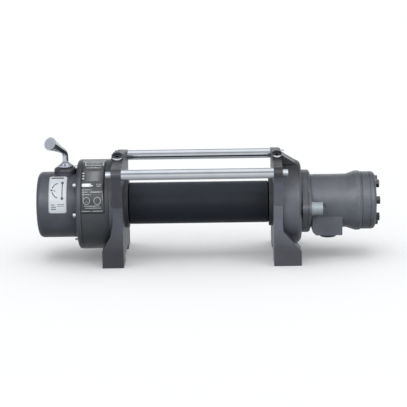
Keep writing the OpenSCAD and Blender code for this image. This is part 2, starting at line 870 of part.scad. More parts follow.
module output_sun_gear() {
    color("#a7a9ae") on_axis(0) difference() {
        union() {
            translate([0, 0, output_gear_x])
                linear_extrude(output_width) outer_gear(sun_teeth, output_module);
            translate([0, 0, input_plate_x])
                cylinder(r = sun_hub_r, h = output_gear_x - input_plate_x + over);
        }
        translate([0, 0, input_plate_x - over])
            cylinder(r = drive_r + sun_bore_gap, h = output_gear_x + output_width - input_plate_x + 2 * over);
    }
}

module stage_divider() {
    color("#5a5c61") on_axis(divider_x) tube(divider_r - fit_gap, divider_bore_r, divider_t);
}

module divider_bushing() {
    color("#b08d57") on_axis(divider_x) tube(divider_bore_r - fit_gap, sun_hub_r + run_gap, divider_t);
}

// Half section of a disc whose far edge is rounded
module rounded_section(r, h, edge_r) {
    square([r, h - edge_r]);
    square([r - edge_r, h]);
    intersection() {
        square([r, h]);
        translate([r - edge_r, h - edge_r]) circle(r = edge_r);
    }
}

module end_housing() {
    color("#47474f") difference() {
        union() {
            on_axis(flange_right_x) rotate([180, 0, 0])
                rotate_extrude() rounded_section(case_r, end_flange_t, flange_edge_r);
            on_axis(flange_x) rotate([180, 0, 0]) rotate_extrude() rounded_section(end_r, end_len, end_round);
            translate([lever_x, 0, axis_h])
                rotate_extrude() rounded_section(lever_boss_r, lever_boss_rise, boss_edge_r);
        }
        on_axis(end_in_x) cylinder(r = end_in_r, h = flange_right_x - end_in_x + over);
        on_axis(dog_x + free_gap) cylinder(r = lock_r + fit_gap, h = flange_right_x - dog_x);
        on_axis(divider_x) cylinder(r = divider_r, h = divider_t + over);
        on_axis(flange_x) case_screw_holes(end_flange_t);
        on_axis(flange_x - case_head_h - over) around(case_screw_count, case_screw_turn)
            translate([case_screw_circle, 0, 0]) cylinder(r = case_head_r + free_gap, h = case_head_h + over);
        on_axis(pad_x) cylinder(r = pad_r + fit_gap, h = pad_recess + over);
        translate([lever_x, 0, axis_h]) {
            translate([0, 0, ring_body_r]) cylinder(r = crank_r + free_gap, h = lever_bush_z - ring_body_r);
            translate([0, 0, lever_bush_z - over])
                cylinder(r = lever_bush_r + fit_gap, h = lever_boss_rise - lever_bush_z + 2 * over);
        }
    }
}

module case_screws() {
    len = left_out + case_screw_grip - flange_x;
    color("#d5d9dc") on_axis(flange_x) around(case_screw_count, case_screw_turn)
        translate([case_screw_circle, 0, 0]) rotate([180, 0, 0])
            cap_screw(case_screw_r, len, case_head_r, case_head_h);
}

module clutch_lock_ring() {
    lock_x = dog_x + free_gap;
    dog_angle = 180 / dog_count - dog_play_angle;
    color("#8a8c92") on_axis(lock_x) {
        tube(lock_r, ring_collar_r + free_gap, divider_x - lock_x);
        around(dog_count, 180 / dog_count) rotate(-dog_angle / 2) rotate_extrude(angle = dog_angle)
            translate([lock_tip_r, 0]) square([lock_r - lock_tip_r - over, dog_len]);
    }
}

// Ring body with the dogs that stand out of it, seen along the axis
module dog_outline() {
    dog_angle = 180 / dog_count - dog_play_angle;
    reach = 2 * dog_r;
    circle(r = ring_body_r);
    intersection() {
        circle(r = dog_r);
        around(dog_count, -dog_angle / 2)
            polygon([[0, 0], [reach, 0], [reach * cos(dog_angle), reach * sin(dog_angle)]]);
    }
}

module clutch_ring_gear() {
    left = groove_x - groove_half;
    right = groove_x + groove_half;
    color("#92949a") on_axis(0) difference() {
        union() {
            rotate_extrude() polygon([[0, ring_left_x], [ring_body_r, ring_left_x],
                [ring_body_r, left - left_collar_t], [ring_collar_r, left - left_collar_t], [ring_collar_r,
                    left],
                [ring_body_r, left], [ring_body_r, right], [ring_collar_r, right], [ring_collar_r, dog_x],
                [0, dog_x]]);
            translate([0, 0, dog_x - ring_collar_t / 2])
                linear_extrude(dog_len + ring_collar_t / 2) dog_outline();
        }
        translate([0, 0, ring_left_x - over])
            linear_extrude(dog_x + dog_len - ring_left_x + 2 * over) ring_hole(input_module);
    }
}

module input_carrier() {
    color("#74767c") on_axis(input_outer_x) carrier(input_carrier_r, input_plate_t, input_outer_plate_t,
        input_width, input_orbit_r, input_pin_r, input_post_orbit_r, input_post_r, sun_hub_r + fit_gap, true);
}

module input_planet_pins() {
    color("#b9bcc0") on_axis(input_outer_x) around(planet_count) translate([input_orbit_r, 0, 0])
        cylinder(r = input_pin_r, h = input_plate_x + input_plate_t - input_outer_x);
}

module input_planet(i) {
    color("#9a9ca1") planet(input_gear_x, input_orbit_r, input_module, input_width, input_pin_r,
        planet_angles[i]);
}

module input_planet_1() { input_planet(0); }
module input_planet_2() { input_planet(1); }
module input_planet_3() { input_planet(2); }

module input_sun_gear() {
    color("#a7a9ae") on_axis(input_gear_x) difference() {
        linear_extrude(input_width) outer_gear(sun_teeth, input_module);
        translate([0, 0, -over]) cylinder(r = drive_r + fit_gap, h = input_width + 2 * over, $fn = 6);
    }
}

module shaft_thrust_pad() {
    color("#b08d57") on_axis(pad_x) difference() {
        cylinder(r = pad_r, h = pad_len);
        translate([0, 0, pad_floor_t]) cylinder(r = drive_r + run_gap, h = pad_len);
    }
}

module drive_shaft() {
    round_x = input_gear_x + input_width + fit_gap;
    hex_x = coupling_x + coupling_web;
    color("#c2c5c9") {
        on_axis(shaft_left_x) cylinder(r = drive_r, h = round_x - shaft_left_x + over, $fn = 6);
        on_axis(round_x) cylinder(r = drive_r, h = hex_x - round_x);
        on_axis(hex_x - over) cylinder(r = drive_r, h = hex_grip + over, $fn = 6);
    }
}

// Radius of the flared handle at a share of its length
function handle_r(share) = neck_r + (handle_end_r - neck_r) * pow(share, flare_power);

module clutch_lever() {
    bend = 90 - handle_rise_angle;
    color("#e3e6e9") translate([lever_x, 0, axis_h]) {
        translate([0, 0, rod_end_rise]) cylinder(r = neck_r, h = bend_rise + bend_lap - rod_end_rise);
        translate([0, 0, skirt_rise]) rotate_extrude() polygon([[0, 0], [skirt_r, 0], [skirt_r, skirt_rim_h],
            [skirt_waist_r, skirt_waist_h], [neck_r, skirt_h], [0, skirt_h]]);
        translate([0, 0, bend_rise]) rotate(-90 - handle_out_angle) translate([bend_r, 0, 0]) {
            rotate([90, 0, 0]) rotate(180 - bend) rotate_extrude(angle = bend)
                translate([bend_r, 0]) circle(r = neck_r - bend_shy);
            translate([-bend_r * cos(bend), 0, bend_r * sin(bend)]) rotate([0, bend, 0]) rotate_extrude()
                polygon(concat([[0, -bend_lap], [neck_r, -bend_lap]], [for (i = [0 : flare_steps])
                    [handle_r(i / flare_steps), handle_len * i / flare_steps]],
                    [[handle_end_r - handle_edge, handle_len + handle_edge], [0, handle_len + handle_edge]]));
        }
    }
}

module shift_crank() {
    color("#8d9096") translate([lever_x, 0, axis_h]) difference() {
        union() {
            translate([0, 0, crank_rise]) cylinder(r = crank_r, h = crank_t + crank_hub_h - free_gap);
            translate([crank_e, 0, crank_tip_rise])
                cylinder(r = crank_pin_r, h = crank_rise - crank_tip_rise + over);
        }
        translate([0, 0, rod_end_rise]) cylinder(r = neck_r + fit_gap, h = crank_hub_h + over);
    }
}

module lever_bushing() {
    color("#b08d57") translate([lever_x, 0, axis_h + lever_bush_z])
        tube(lever_bush_r, neck_r + run_gap, lever_boss_rise - lever_bush_z);
}

module brake_spring() {
    rise = pressure_x - brake_x - 2 * fit_gap;
    color("#6f7277") on_axis(brake_x + fit_gap) rotate_extrude() polygon([[spring_bore_r, rise - spring_t],
        [friction_r, 0], [friction_r, spring_t], [spring_bore_r, rise]]);
}

module torque_notches(h) {
    translate([0, 0, -over]) around(steel_count, torque_pin_turn) translate([torque_pin_orbit_r, 0, 0])
        cylinder(r = torque_pin_r + free_gap, h = h + 2 * over);
}

module brake_pressure_plate() {
    color("#7f8288") on_axis(pressure_x) difference() {
        tube(plate_r, plate_bore_r, pressure_t);
        torque_notches(pressure_t);
    }
}

module brake_steel_plates() {
    color("#a3a6ab") for (i = [0 : steel_count - 1]) on_axis(stack_x + i * brake_pitch) difference() {
        tube(plate_r, plate_bore_r, steel_t);
        torque_notches(steel_t);
    }
}

module brake_friction_discs() {
    color("#6a5a48") for (i = [0 : steel_count - 2]) on_axis(stack_x + steel_t + free_gap + i * brake_pitch)
        difference() {
            cylinder(r = friction_r, h = friction_t);
            translate([0, 0, -over]) cylinder(r = coupling_r + run_gap, h = friction_t + 2 * over, $fn = 6);
        }
}

module brake_torque_pins() {
    color("#b9bcc0") on_axis(brake_x - torque_pin_sink) around(steel_count, torque_pin_turn)
        translate([torque_pin_orbit_r, 0, 0])
            cylinder(r = torque_pin_r, h = spigot_x - brake_x + torque_pin_sink - fit_gap);
}

module drive_coupling() {
    bore_x = coupling_x + coupling_web + hex_grip;
    color("#898c92") on_axis(coupling_x) difference() {
        cylinder(r = coupling_r, h = coupling_end_x - coupling_x, $fn = 6);
        translate([0, 0, -over]) cylinder(r = drive_r + fit_gap, h = coupling_web + over);
        translate([0, 0, coupling_web]) cylinder(r = drive_r + fit_gap, h = hex_grip + over, $fn = 6);
        translate([0, 0, bore_x - coupling_x]) cylinder(r = shaft_end_r + fit_gap, h = coupling_end_x);
    }
}

// Flange outline: a disc of radius r with two ears, joined by their common tangents
module flange_outline(r) {
    turn = acos((r - flange_ear_r) / flange_bolt_y);
    circle(r = r);
    for (side = [-1, 1]) {
        translate([side * flange_bolt_y, 0]) circle(r = flange_ear_r);
        polygon([for (p = [[r, 0, 1], [flange_ear_r, flange_bolt_y, 1], [flange_ear_r, flange_bolt_y, -1],
            [r, 0, -1]]) [side * (p[1] + p[0] * cos(turn)), p[2] * p[0] * sin(turn)]]);
    }
}

module motor_housing() {
    color("#63636c") difference() {
        union() {
            on_axis(motor_x) linear_extrude(flange_t - flange_edge_r) flange_outline(flange_r);
            on_axis(motor_x) linear_extrude(flange_t) flange_outline(flange_r - flange_edge_r);
            on_axis(motor_x) rotate_extrude() rounded_section(flange_r, flange_t, flange_edge_r);
            on_axis(spigot_x + fit_gap) cylinder(r = spigot_r, h = motor_x - spigot_x);
            on_axis(body_x - over) rotate_extrude() polygon([[0, 0], [motor_r, 0],
                [motor_r, motor_len * flare_start_share], [flare_r, motor_len * flare_top_share],
                [flare_r, motor_len + over], [0, motor_len + over]]);
            translate([body_x, block_half_y, axis_h]) rotate([90, 0, 0]) linear_extrude(2 * block_half_y)
                polygon([[block_left, -block_top], [block_left, block_bevel - block_drop],
                    [block_left + block_bevel, -block_drop], [block_left + block_len, -block_drop],
                    [block_left + block_len, -block_top]]);
            for (y = [-1, 1]) translate([port_x, y * port_y, axis_h - port_boss_drop])
                cylinder(r = port_boss_r, h = port_boss_drop - block_top);
        }
        on_axis(spigot_x - over) cylinder(r = plate_bore_r, h = motor_x - spigot_x + over + fit_gap);
        on_axis(motor_x) cylinder(r = motor_seal_r + fit_gap, h = seal_x + motor_seal_t - motor_x);
        on_axis(seal_x + motor_seal_t - over) cylinder(r = motor_way_r, h = spacer_x);
        on_axis(shaft_body_x) cylinder(r = bearing_r + fit_gap, h = bearing_len);
        for (y = [-1, 1]) {
            on_axis(motor_x - over) translate([y * flange_bolt_y, 0, 0])
                cylinder(r = motor_bolt_r + free_gap / 2, h = flange_t + 2 * over);
            on_axis(body_x) translate([y * flange_bolt_y, 0, 0])
                cylinder(r = bolt_pocket_r, h = bolt_pocket_len);
            translate([port_x, y * port_y, axis_h - port_boss_drop - over])
                cylinder(r = port_r, h = port_depth + over);
            translate([port_x, y * port_y, axis_h - port_boss_drop])
                cylinder(r = gallery_r, h = port_boss_drop - gallery_rise);
        }
        on_axis(spacer_x - cap_bolt_grip) cap_bolt_holes(cap_bolt_grip);
    }
}

module motor_bolts() {
    head_x = body_x + washer_t + lock_washer_t;
    color("#e4e7ea") for (y = [-1, 1]) on_axis(head_x) translate([y * flange_bolt_y, 0, 0])
        cap_screw(motor_bolt_r, head_x - hub_x + motor_bolt_grip, motor_bolt_head_r, motor_bolt_head_h);
}

module motor_bolt_washers() {
    color("#cfd3d6") for (y = [-1, 1]) on_axis(body_x) translate([y * flange_bolt_y, 0, 0]) {
        tube(washer_r, motor_bolt_r + free_gap / 2, washer_t);
        translate([0, 0, washer_t]) tube(lock_washer_r, motor_bolt_r + free_gap / 2, lock_washer_t);
    }
}

module motor_shaft() {
    color("#c6c9cd") on_axis(0) difference() {
        union() {
            translate([0, 0, coupling_x + coupling_web + hex_grip + over])
                cylinder(r = shaft_end_r, h = shaft_body_x - coupling_x - coupling_web - hex_grip);
            translate([0, 0, shaft_body_x]) cylinder(r = shaft_body_r, h = shaft_body_len);
        }
        translate([0, 0, shaft_body_x + shaft_body_len - link_socket_len])
            splined(link_spline_r, link_spline_h, link_spline_w, spline_count, link_socket_len + over,
                run_gap);
    }
}

module motor_shaft_seal() {
    color("#1a1a1d") on_axis(seal_x) tube(motor_seal_r, shaft_end_r + run_gap, motor_seal_t);
}

module motor_shaft_bearing() {
    color("#b08d57") on_axis(shaft_body_x) tube(bearing_r, shaft_body_r + run_gap, bearing_len);
}

module motor_drive_link() {
    link_x = shaft_body_x + shaft_body_len - link_socket_len + link_gap;
    color("#a5a8ad") {
        on_axis(link_x) splined(link_spline_r, link_spline_h, link_spline_w, spline_count,
            link_socket_len - link_gap);
        on_axis(link_x + link_socket_len - link_gap - over)
            cylinder(r = link_neck_r, h = rotor_x - link_x - link_socket_len + over + link_gap + over);
        on_axis(rotor_x) cylinder(r = link_end_r, h = rotor_w - link_gap);
    }
}

module cap_bolt_holes(h) {
    translate([0, 0, -over]) around(roller_count, cap_bolt_turn) translate([cap_bolt_orbit_r, 0, 0])
        cylinder(r = cap_bolt_r + fit_gap, h = h + 2 * over);
}

// Disc of the motor's rear section with a narrow seam on its front edge
module rear_disc(h) {
    cylinder(r = rear_r - seam, h = h);
    translate([0, 0, seam]) cylinder(r = rear_r, h = h - seam);
}

module rotor_spacer_plate() {
    color("#5c5c64") on_axis(spacer_x) difference() {
        rotate_extrude() polygon([[0, 0], [flare_r, 0], [flare_r, spacer_t * spacer_edge_share],
            [rear_r, spacer_t], [0, spacer_t]]);
        translate([0, 0, -over]) cylinder(r = spacer_bore_r, h = spacer_t + 2 * over);
        cap_bolt_holes(spacer_t);
    }
}

module rotor_ring() {
    color("#61616a") on_axis(rotor_x) difference() {
        rear_disc(rotor_w);
        translate([0, 0, -over]) cylinder(r = rotor_ring_bore_r, h = rotor_w + 2 * over);
        translate([0, 0, -over]) around(roller_count) translate([roller_orbit_r, 0, 0])
            cylinder(r = roller_r + run_gap, h = rotor_w + 2 * over);
        cap_bolt_holes(rotor_w);
    }
}

module rotor_rollers() {
    color("#b4b7bb") on_axis(rotor_x + fit_gap) around(roller_count) translate([roller_orbit_r, 0, 0])
        cylinder(r = roller_r, h = rotor_w - 2 * fit_gap);
}

// Outline of the six-lobed star that rolls inside the seven rollers
function star_point(t) =
    let (n = roller_count, r = roller_r + star_play)
    let (psi = atan2(sin((1 - n) * t), roller_orbit_r / (rotor_e * n) - cos((1 - n) * t)))
    [roller_orbit_r * cos(t) - r * cos(t + psi) - rotor_e * cos(n * t),
        -roller_orbit_r * sin(t) + r * sin(t + psi) + rotor_e * sin(n * t)];

module rotor_star() {
    color("#c3c6ca") on_axis(rotor_x + fit_gap) translate([rotor_e, 0, 0]) difference() {
        linear_extrude(rotor_w - 2 * fit_gap)
            polygon([for (i = [0 : star_steps - 1]) star_point(360 * i / star_steps)]);
        translate([0, 0, -over]) cylinder(r = star_bore_r, h = rotor_w + 2 * over);
    }
}

module motor_end_cap() {
    color("#5b5b63") on_axis(cap_x) difference() {
        union() {
            cylinder(r = rear_r - seam, h = cap_t - rear_edge);
            translate([0, 0, seam]) rotate_extrude() rounded_section(rear_r, cap_t - seam, rear_edge);
        }
        cap_bolt_holes(cap_t);
    }
}

module end_cap_bolts() {
    color("#3a3a3f") on_axis(motor_end_x) around(roller_count, cap_bolt_turn)
        translate([cap_bolt_orbit_r, 0, 0])
        hex_screw(cap_bolt_r, motor_end_x - spacer_x + cap_bolt_grip - over, cap_bolt_head_r,
            cap_bolt_head_h);
}

// Thin plate bent round a cylinder, between two angles above the front
module bent_plate(x, w, r, low, high) {
    on_axis(x) rotate(180 - high) rotate_extrude(angle = high - low) translate([r, 0]) square([label_t, w]);
}

module case_label() {
    color("#202124") bent_plate(case_x + case_label_margin, case_len - 2 * case_label_margin,
        case_r, case_label_low, case_label_high);
}

module end_label() {
    color("#e9eaec") difference() {
        bent_plate(end_label_x, end_label_w, end_r, end_label_low, end_label_high);
        translate([lever_x, 0, axis_h]) cylinder(r = lever_boss_r + free_gap, h = lever_boss_rise);
    }
}

left_drum_support();
right_drum_support();
tie_rod_front();
tie_rod_rear();
tie_rod_screws();
bracket_screws();
mounting_nuts();
left_drum_bushing();
right_drum_bushing();
drum_seals();
rope_drum();
rope_anchor_screw();
adapter_plate();
gear_housing();
case_gasket();
output_ring_gear();
output_carrier();
output_planet_pins();
output_planet_1();
output_planet_2();
output_planet_3();
output_sun_gear();
stage_divider();
divider_bushing();
end_housing();
case_screws();
clutch_lock_ring();
clutch_ring_gear();
input_carrier();
input_planet_pins();
input_planet_1();
input_planet_2();
input_planet_3();
input_sun_gear();
shaft_thrust_pad();
drive_shaft();
clutch_lever();
shift_crank();
lever_bushing();
brake_spring();
brake_pressure_plate();
brake_steel_plates();
brake_friction_discs();
brake_torque_pins();
drive_coupling();
motor_housing();
motor_bolts();
motor_bolt_washers();
motor_shaft();
motor_shaft_seal();
motor_shaft_bearing();
motor_drive_link();
rotor_spacer_plate();
rotor_ring();
rotor_rollers();
rotor_star();
motor_end_cap();
end_cap_bolts();
case_label();
end_label();
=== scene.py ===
# %% [markdown]
# # A hydraulic winch on a pale studio floor
# A winch like this is mostly cast and turned metal: a rope drum between two footed
# supports, a gear case with a clutch lever at the left, and a brake hub with a hydraulic
# motor at the right. Its solids come ready made, in metres, so the lesson is about light,
# finishes and the few pieces whose surface needs more than a solid gives. The script
# thinks in millimetres, and measures the solids wherever a piece has to meet them.

# %% Load the solids and keep their box
import bmesh
import bpy
import math
from collections import namedtuple
from mathutils import Matrix, Vector


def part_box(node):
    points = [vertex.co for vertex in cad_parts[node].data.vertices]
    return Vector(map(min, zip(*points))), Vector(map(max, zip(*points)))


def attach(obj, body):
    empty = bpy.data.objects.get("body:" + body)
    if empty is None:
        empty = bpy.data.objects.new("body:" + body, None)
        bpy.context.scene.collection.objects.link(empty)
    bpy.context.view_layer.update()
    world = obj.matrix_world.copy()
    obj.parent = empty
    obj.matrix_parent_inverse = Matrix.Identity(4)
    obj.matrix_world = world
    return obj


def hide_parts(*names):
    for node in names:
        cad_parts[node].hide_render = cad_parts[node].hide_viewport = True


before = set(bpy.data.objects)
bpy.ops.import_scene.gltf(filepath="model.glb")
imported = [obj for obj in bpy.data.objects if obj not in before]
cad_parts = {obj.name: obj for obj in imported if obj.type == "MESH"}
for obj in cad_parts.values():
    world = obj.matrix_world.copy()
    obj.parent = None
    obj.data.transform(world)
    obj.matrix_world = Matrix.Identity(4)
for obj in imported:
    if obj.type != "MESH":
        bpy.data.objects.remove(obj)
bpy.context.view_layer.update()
MM = 0.001
X, Y, Z = 0, 1, 2

def span(node, axis=X):
    low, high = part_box(node)
    return low[axis] / MM, high[axis] / MM

axis_h = sum(span("rope_drum", Z)) / 2
boss_top = span("lever_bushing", Z)[1] - axis_h

# %% [markdown]
# ## The camera
# The picture was taken with a long lens from the front, a little above the drum. A camera
# can be aimed with a Track To constraint, but the picture is also turned by one degree, so
# the whole matrix is written down: where the lens looks, what is right and what is up. The
# focal length is in pixels of the picture, the distance in metres, the angles in degrees.

# %% Set the camera up
PICTURE_PX = 407
SENSOR_MM = 36

def aim_camera(focal_px, distance, above, turn, tilt, look_at):
    above, turn, tilt = (math.radians(a) for a in (above, turn, tilt))
    ahead = Vector((math.sin(turn) * math.cos(above), math.cos(turn) * math.cos(above),
                    -math.sin(above)))
    level = Vector((math.cos(turn), -math.sin(turn), 0))
    upright = level.cross(ahead)
    right = level * math.cos(tilt) + upright * math.sin(tilt)
    up = upright * math.cos(tilt) - level * math.sin(tilt)
    place = Vector(look_at) - ahead * distance
    lens = bpy.data.cameras.new("product_camera")
    lens.sensor_width = SENSOR_MM
    lens.lens = SENSOR_MM * focal_px / PICTURE_PX
    lens.clip_start, lens.clip_end = 0.1, 60
    holder = bpy.data.objects.new("product_camera", lens)
    bpy.context.scene.collection.objects.link(holder)
    holder.matrix_world = Matrix(((right.x, up.x, -ahead.x, place.x),
                                  (right.y, up.y, -ahead.y, place.y),
                                  (right.z, up.z, -ahead.z, place.z),
                                  (0, 0, 0, 1)))
    return holder

camera = aim_camera(focal_px=1454.96, distance=2.2243, above=12.98, turn=-0.944, tilt=-1.031,
                    look_at=(0.007, 0, 0.0799))
bpy.context.scene.camera = camera
print("lens mm:", round(camera.data.lens, 1), "place:", [round(v, 3) for v in camera.location])

# %% [markdown]
# ## Nodes by name
# The sky and every finish are small node trees. Clicking them together is fine for one
# material, but for twenty a helper is quicker: it adds a node, sets the numbers on its
# sockets and draws the wires into it. Both come as a table from socket to value.

# %% Helpers for node trees
def set_sockets(tree, node, numbers=None, wires=None):
    for socket, number in (numbers or {}).items():
        node.inputs[socket].default_value = number
    for socket, out in (wires or {}).items():
        tree.links.new(out, node.inputs[socket])

def add_node(tree, kind, numbers=None, wires=None):
    node = tree.nodes.new("ShaderNode" + kind)
    set_sockets(tree, node, numbers, wires)
    return node

def set_stops(color_ramp, stops):
    while len(color_ramp.elements) < len(stops):
        color_ramp.elements.new(0.5)
    for element, (at, colour) in zip(color_ramp.elements, stops):
        element.position = at
        element.color = (*colour, 1)

# %% [markdown]
# ## The sky
# Dark satin paint and chrome show their form by what they mirror. A studio would put
# sheets of white and grey round the winch. Here the world does it with a table of
# brightness by height: bright overhead, a dim belt near 44 degrees and a bright one at the
# level of the eye, so a round rod shows the light and dark lines that chrome has in a
# studio. The camera alone sees an even pale grey instead.

# %% Make the studio sky
def studio_sky(belts, sky_tint, backdrop_grey):
    world = bpy.data.worlds.new("studio_sky")
    bpy.context.scene.world = world
    world.use_nodes = True
    tree = world.node_tree
    place = add_node(tree, "TexCoord")
    split = add_node(tree, "SeparateXYZ", wires={0: place.outputs["Generated"]})
    height = add_node(tree, "MapRange", {"From Min": -1}, {"Value": split.outputs["Z"]})
    ramp = add_node(tree, "ValToRGB", wires={"Fac": height.outputs["Result"]})
    set_stops(ramp.color_ramp, [((math.sin(math.radians(above)) + 1) / 2, [grey * t for t in sky_tint])
                                for above, grey in belts])
    sky = tree.nodes["Background"]
    set_sockets(tree, sky, wires={"Color": ramp.outputs["Color"]})
    backdrop = add_node(tree, "Background", {"Color": (backdrop_grey, backdrop_grey, backdrop_grey, 1)})
    path = add_node(tree, "LightPath")
    either = add_node(tree, "MixShader", wires={"Fac": path.outputs["Is Camera Ray"],
                                                1: sky.outputs[0], 2: backdrop.outputs[0]})
    set_sockets(tree, tree.nodes["World Output"], wires={"Surface": either.outputs[0]})

sky_belts = [(-90, 0.28), (-58, 0.56), (-38, 0.56), (-17, 0.72), (3, 0.88), (22, 0.50), (44, 0.30),
             (62, 0.95), (90, 1.05)]
studio_sky(sky_belts, sky_tint=(0.97, 1.0, 1.04), backdrop_grey=0.95)
bpy.context.scene.view_settings.view_transform = "Standard"
print("sky belts:", len(sky_belts))

# %% [markdown]
# ## The lamps
# Large panels give a studio its soft shadows. An area lamp would do, but its light falls
# off along so long a piece, so each panel is a sun lamp with a wide angle. Two in front
# model the castings, one overhead lights their flats, one low behind draws a rim, and the
# last is kept for the floor alone.

# %% Hang the lamps
LAMP_COLOUR = (0.97, 0.99, 1.0)

def wide_lamp(name, around, above, spread, strength):
    lamp = bpy.data.lights.new(name, "SUN")
    lamp.angle = math.radians(spread)
    lamp.energy = strength
    lamp.color = LAMP_COLOUR
    holder = bpy.data.objects.new(name, lamp)
    bpy.context.scene.collection.objects.link(holder)
    around, above = math.radians(around), math.radians(above)
    towards = Vector((math.sin(around) * math.cos(above), -math.cos(around) * math.cos(above),
                      math.sin(above)))
    holder.rotation_euler = towards.to_track_quat("Z", "Y").to_euler()
    return holder

overhead_light = wide_lamp("overhead_light", around=0, above=86, spread=50, strength=0.45)
back_light = wide_lamp("back_light", around=180, above=12, spread=50, strength=0.6)
floor_fill = wide_lamp("floor_fill", around=0, above=89, spread=160, strength=1.75)
front_lamps = [wide_lamp("front_left_light", around=-31, above=34, spread=34, strength=2.3),
               wide_lamp("front_right_light", around=35, above=34, spread=34, strength=2.5)]
print("lamps:", [lamp.name for lamp in [overhead_light, back_light, floor_fill] + front_lamps])

# %% [markdown]
# ## Floor
# The floor is one wide pale sheet. A white floor would throw so much light back that the
# undersides of dark castings turn grey. In a studio the winch would stand on a small
# table; here the sheet is shown to the camera alone, and the castings see the dim lower
# sky through it. It still takes their soft shadow, and it glows a little so that its far
# end stays pale.

# %% Lay the floor
PAPER_TINT = (1.005, 0.995, 0.985)

def floor_sheet(half, grey, glow):
    mesh = bpy.data.meshes.new("studio_floor")
    mesh.from_pydata([(-half, -half, 0), (half, -half, 0), (half, half, 0), (-half, half, 0)], [],
                     [(0, 1, 2, 3)])
    sheet = bpy.data.objects.new("studio_floor", mesh)
    bpy.context.scene.collection.objects.link(sheet)
    paper = bpy.data.materials.new("floor_paper")
    paper.use_nodes = True
    set_sockets(paper.node_tree, paper.node_tree.nodes["Principled BSDF"], {
        "Base Color": (*(grey * t for t in PAPER_TINT), 1), "Roughness": 1.0,
        "Specular IOR Level": 0.0, "Emission Color": (1, 1, 1, 1), "Emission Strength": glow})
    mesh.materials.append(paper)
    sheet.visible_diffuse = False
    sheet.visible_glossy = False
    sheet.visible_shadow = False
    return sheet

floor = floor_sheet(half=30, grey=0.67, glow=0.13)
print("floor in m:", [round(v) for v in floor.dimensions])

# %% [markdown]
# ## What a finish is made of
# Every finish starts from a point in the object's own space, a few noises of different
# grain, and a shader. Noise in the object's space needs no unwrapping and keeps its scale
# in metres, so 900 means grains of about a millimetre. Stretching it along one way turns
# the grains into brush marks.

# %% Start a finish
class Finish:
    def __init__(self, name, numbers=None):
        self.material = bpy.data.materials.new(name)
        self.material.use_nodes = True
        self.tree = self.material.node_tree
        self.shader = self.tree.nodes["Principled BSDF"]
        set_sockets(self.tree, self.shader, numbers)
        self.place = self.add("TexCoord").outputs["Object"]

    def add(self, kind, numbers=None, wires=None):
        return add_node(self.tree, kind, numbers, wires)

def noise(f, scale, detail, stretch=(1, 1, 1)):
    mapping = f.add("Mapping", {"Scale": stretch}, {"Vector": f.place})
    grains = f.add("TexNoise", {"Scale": scale, "Detail": detail}, {"Vector": mapping.outputs["Vector"]})
    return grains.outputs["Fac"]

def ramp(f, out, stops):
    node = f.add("ValToRGB", wires={"Fac": out})
    set_stops(node.color_ramp, stops)
    return node.outputs["Color"]

# %% [markdown]
# ## Where it wears, where it is lit and where shade lies
# Paint rubs off on outer edges, and a painted highlight lightens them further; corners
# get painted shade. Ambient Occlusion finds both: looking inwards it finds edges, looking
# outwards it finds corners. A mask turns its answer into a share from 0 to 1. A band is a
# share too, taken between two places along one axis, for seams and for bands of painted
# shade, such as on parts that lie in the shade of others.

# %% Masks for a finish
Shade = namedtuple("Shade", "axis start end soft keep")

def mask(f, out, start, end):
    return f.add("MapRange", {"From Min": start, "From Max": end}, {"Value": out}).outputs["Result"]

def occlusion(f, reach, inside):
    node = f.add("AmbientOcclusion", {"Distance": reach * MM})
    node.inside = inside
    node.samples = 4
    return node.outputs["AO"]

def times(f, one, other):
    node = f.add("Math", wires={0: one, 1: other})
    node.operation = "MULTIPLY"
    return node.outputs["Value"]

# Lightens outer edges in patches: partly wear, partly painted highlight.
def worn_and_lit_edges(f, reach, patch_scale, patch_detail=3, edge=(0.7, 0.45), patch=(0.35, 0.6)):
    patches = mask(f, noise(f, patch_scale, patch_detail), *patch)
    return times(f, mask(f, occlusion(f, reach, True), *edge), patches)

def band(f, shade):
    along = f.add("SeparateXYZ", wires={0: f.place}).outputs[shade.axis]
    rising = mask(f, along, (shade.start - shade.soft) * MM, (shade.start + shade.soft) * MM)
    falling = mask(f, along, (shade.end + shade.soft) * MM, (shade.end - shade.soft) * MM)
    return times(f, rising, falling)

def upward(f):
    facing = f.add("NewGeometry").outputs["Normal"]
    return mask(f, f.add("SeparateXYZ", wires={0: facing}).outputs["Z"], start=0.35, end=0.9)

# %% [markdown]
# ## How the tones meet
# A share blends one colour over another, or darkens it by a factor, as a painter glazes.
# The last helper wires the finished tone, its roughness and its bumps to the shader.

# %% Blend the tones
MIX_SHARE, MIX_UNDER, MIX_OVER, MIX_OUT = 0, 6, 7, 2

def tint(colour, factor):
    return tuple(c * factor for c in colour)

def lift(colour, factor, added):
    return tuple(c * factor + added for c in colour)

def blend(f, share, under, over, way="MIX"):
    node = f.add("Mix")
    node.data_type = "RGBA"
    node.blend_type = way
    set_sockets(f.tree, node, {MIX_OVER: (*over, 1)}, {MIX_SHARE: share, MIX_UNDER: under})
    return node.outputs[MIX_OUT]

def darken(f, share, under, keep):
    return blend(f, share, under, (keep, keep, keep), "MULTIPLY")

def between(f, out, low, high):
    node = f.add("MapRange", {"From Min": 0.3, "From Max": 0.7, "To Min": low, "To Max": high},
                 {"Value": out})
    return node.outputs["Result"]

def dress(f, tone, roughness, *layers):
    below = None
    for height, depth in layers:
        bump = f.add("Bump", {"Distance": depth, "Strength": 1.0}, {"Height": height})
        if below:
            set_sockets(f.tree, bump, wires={"Normal": below})
        below = bump.outputs["Normal"]
    set_sockets(f.tree, f.shader, wires={"Base Color": tone, "Roughness": roughness, "Normal": below})

def paint(nodes, finish):
    for name in nodes:
        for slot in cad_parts[name].material_slots:
            slot.material = finish.material
    print(finish.material.name, "on", len(nodes), "nodes")
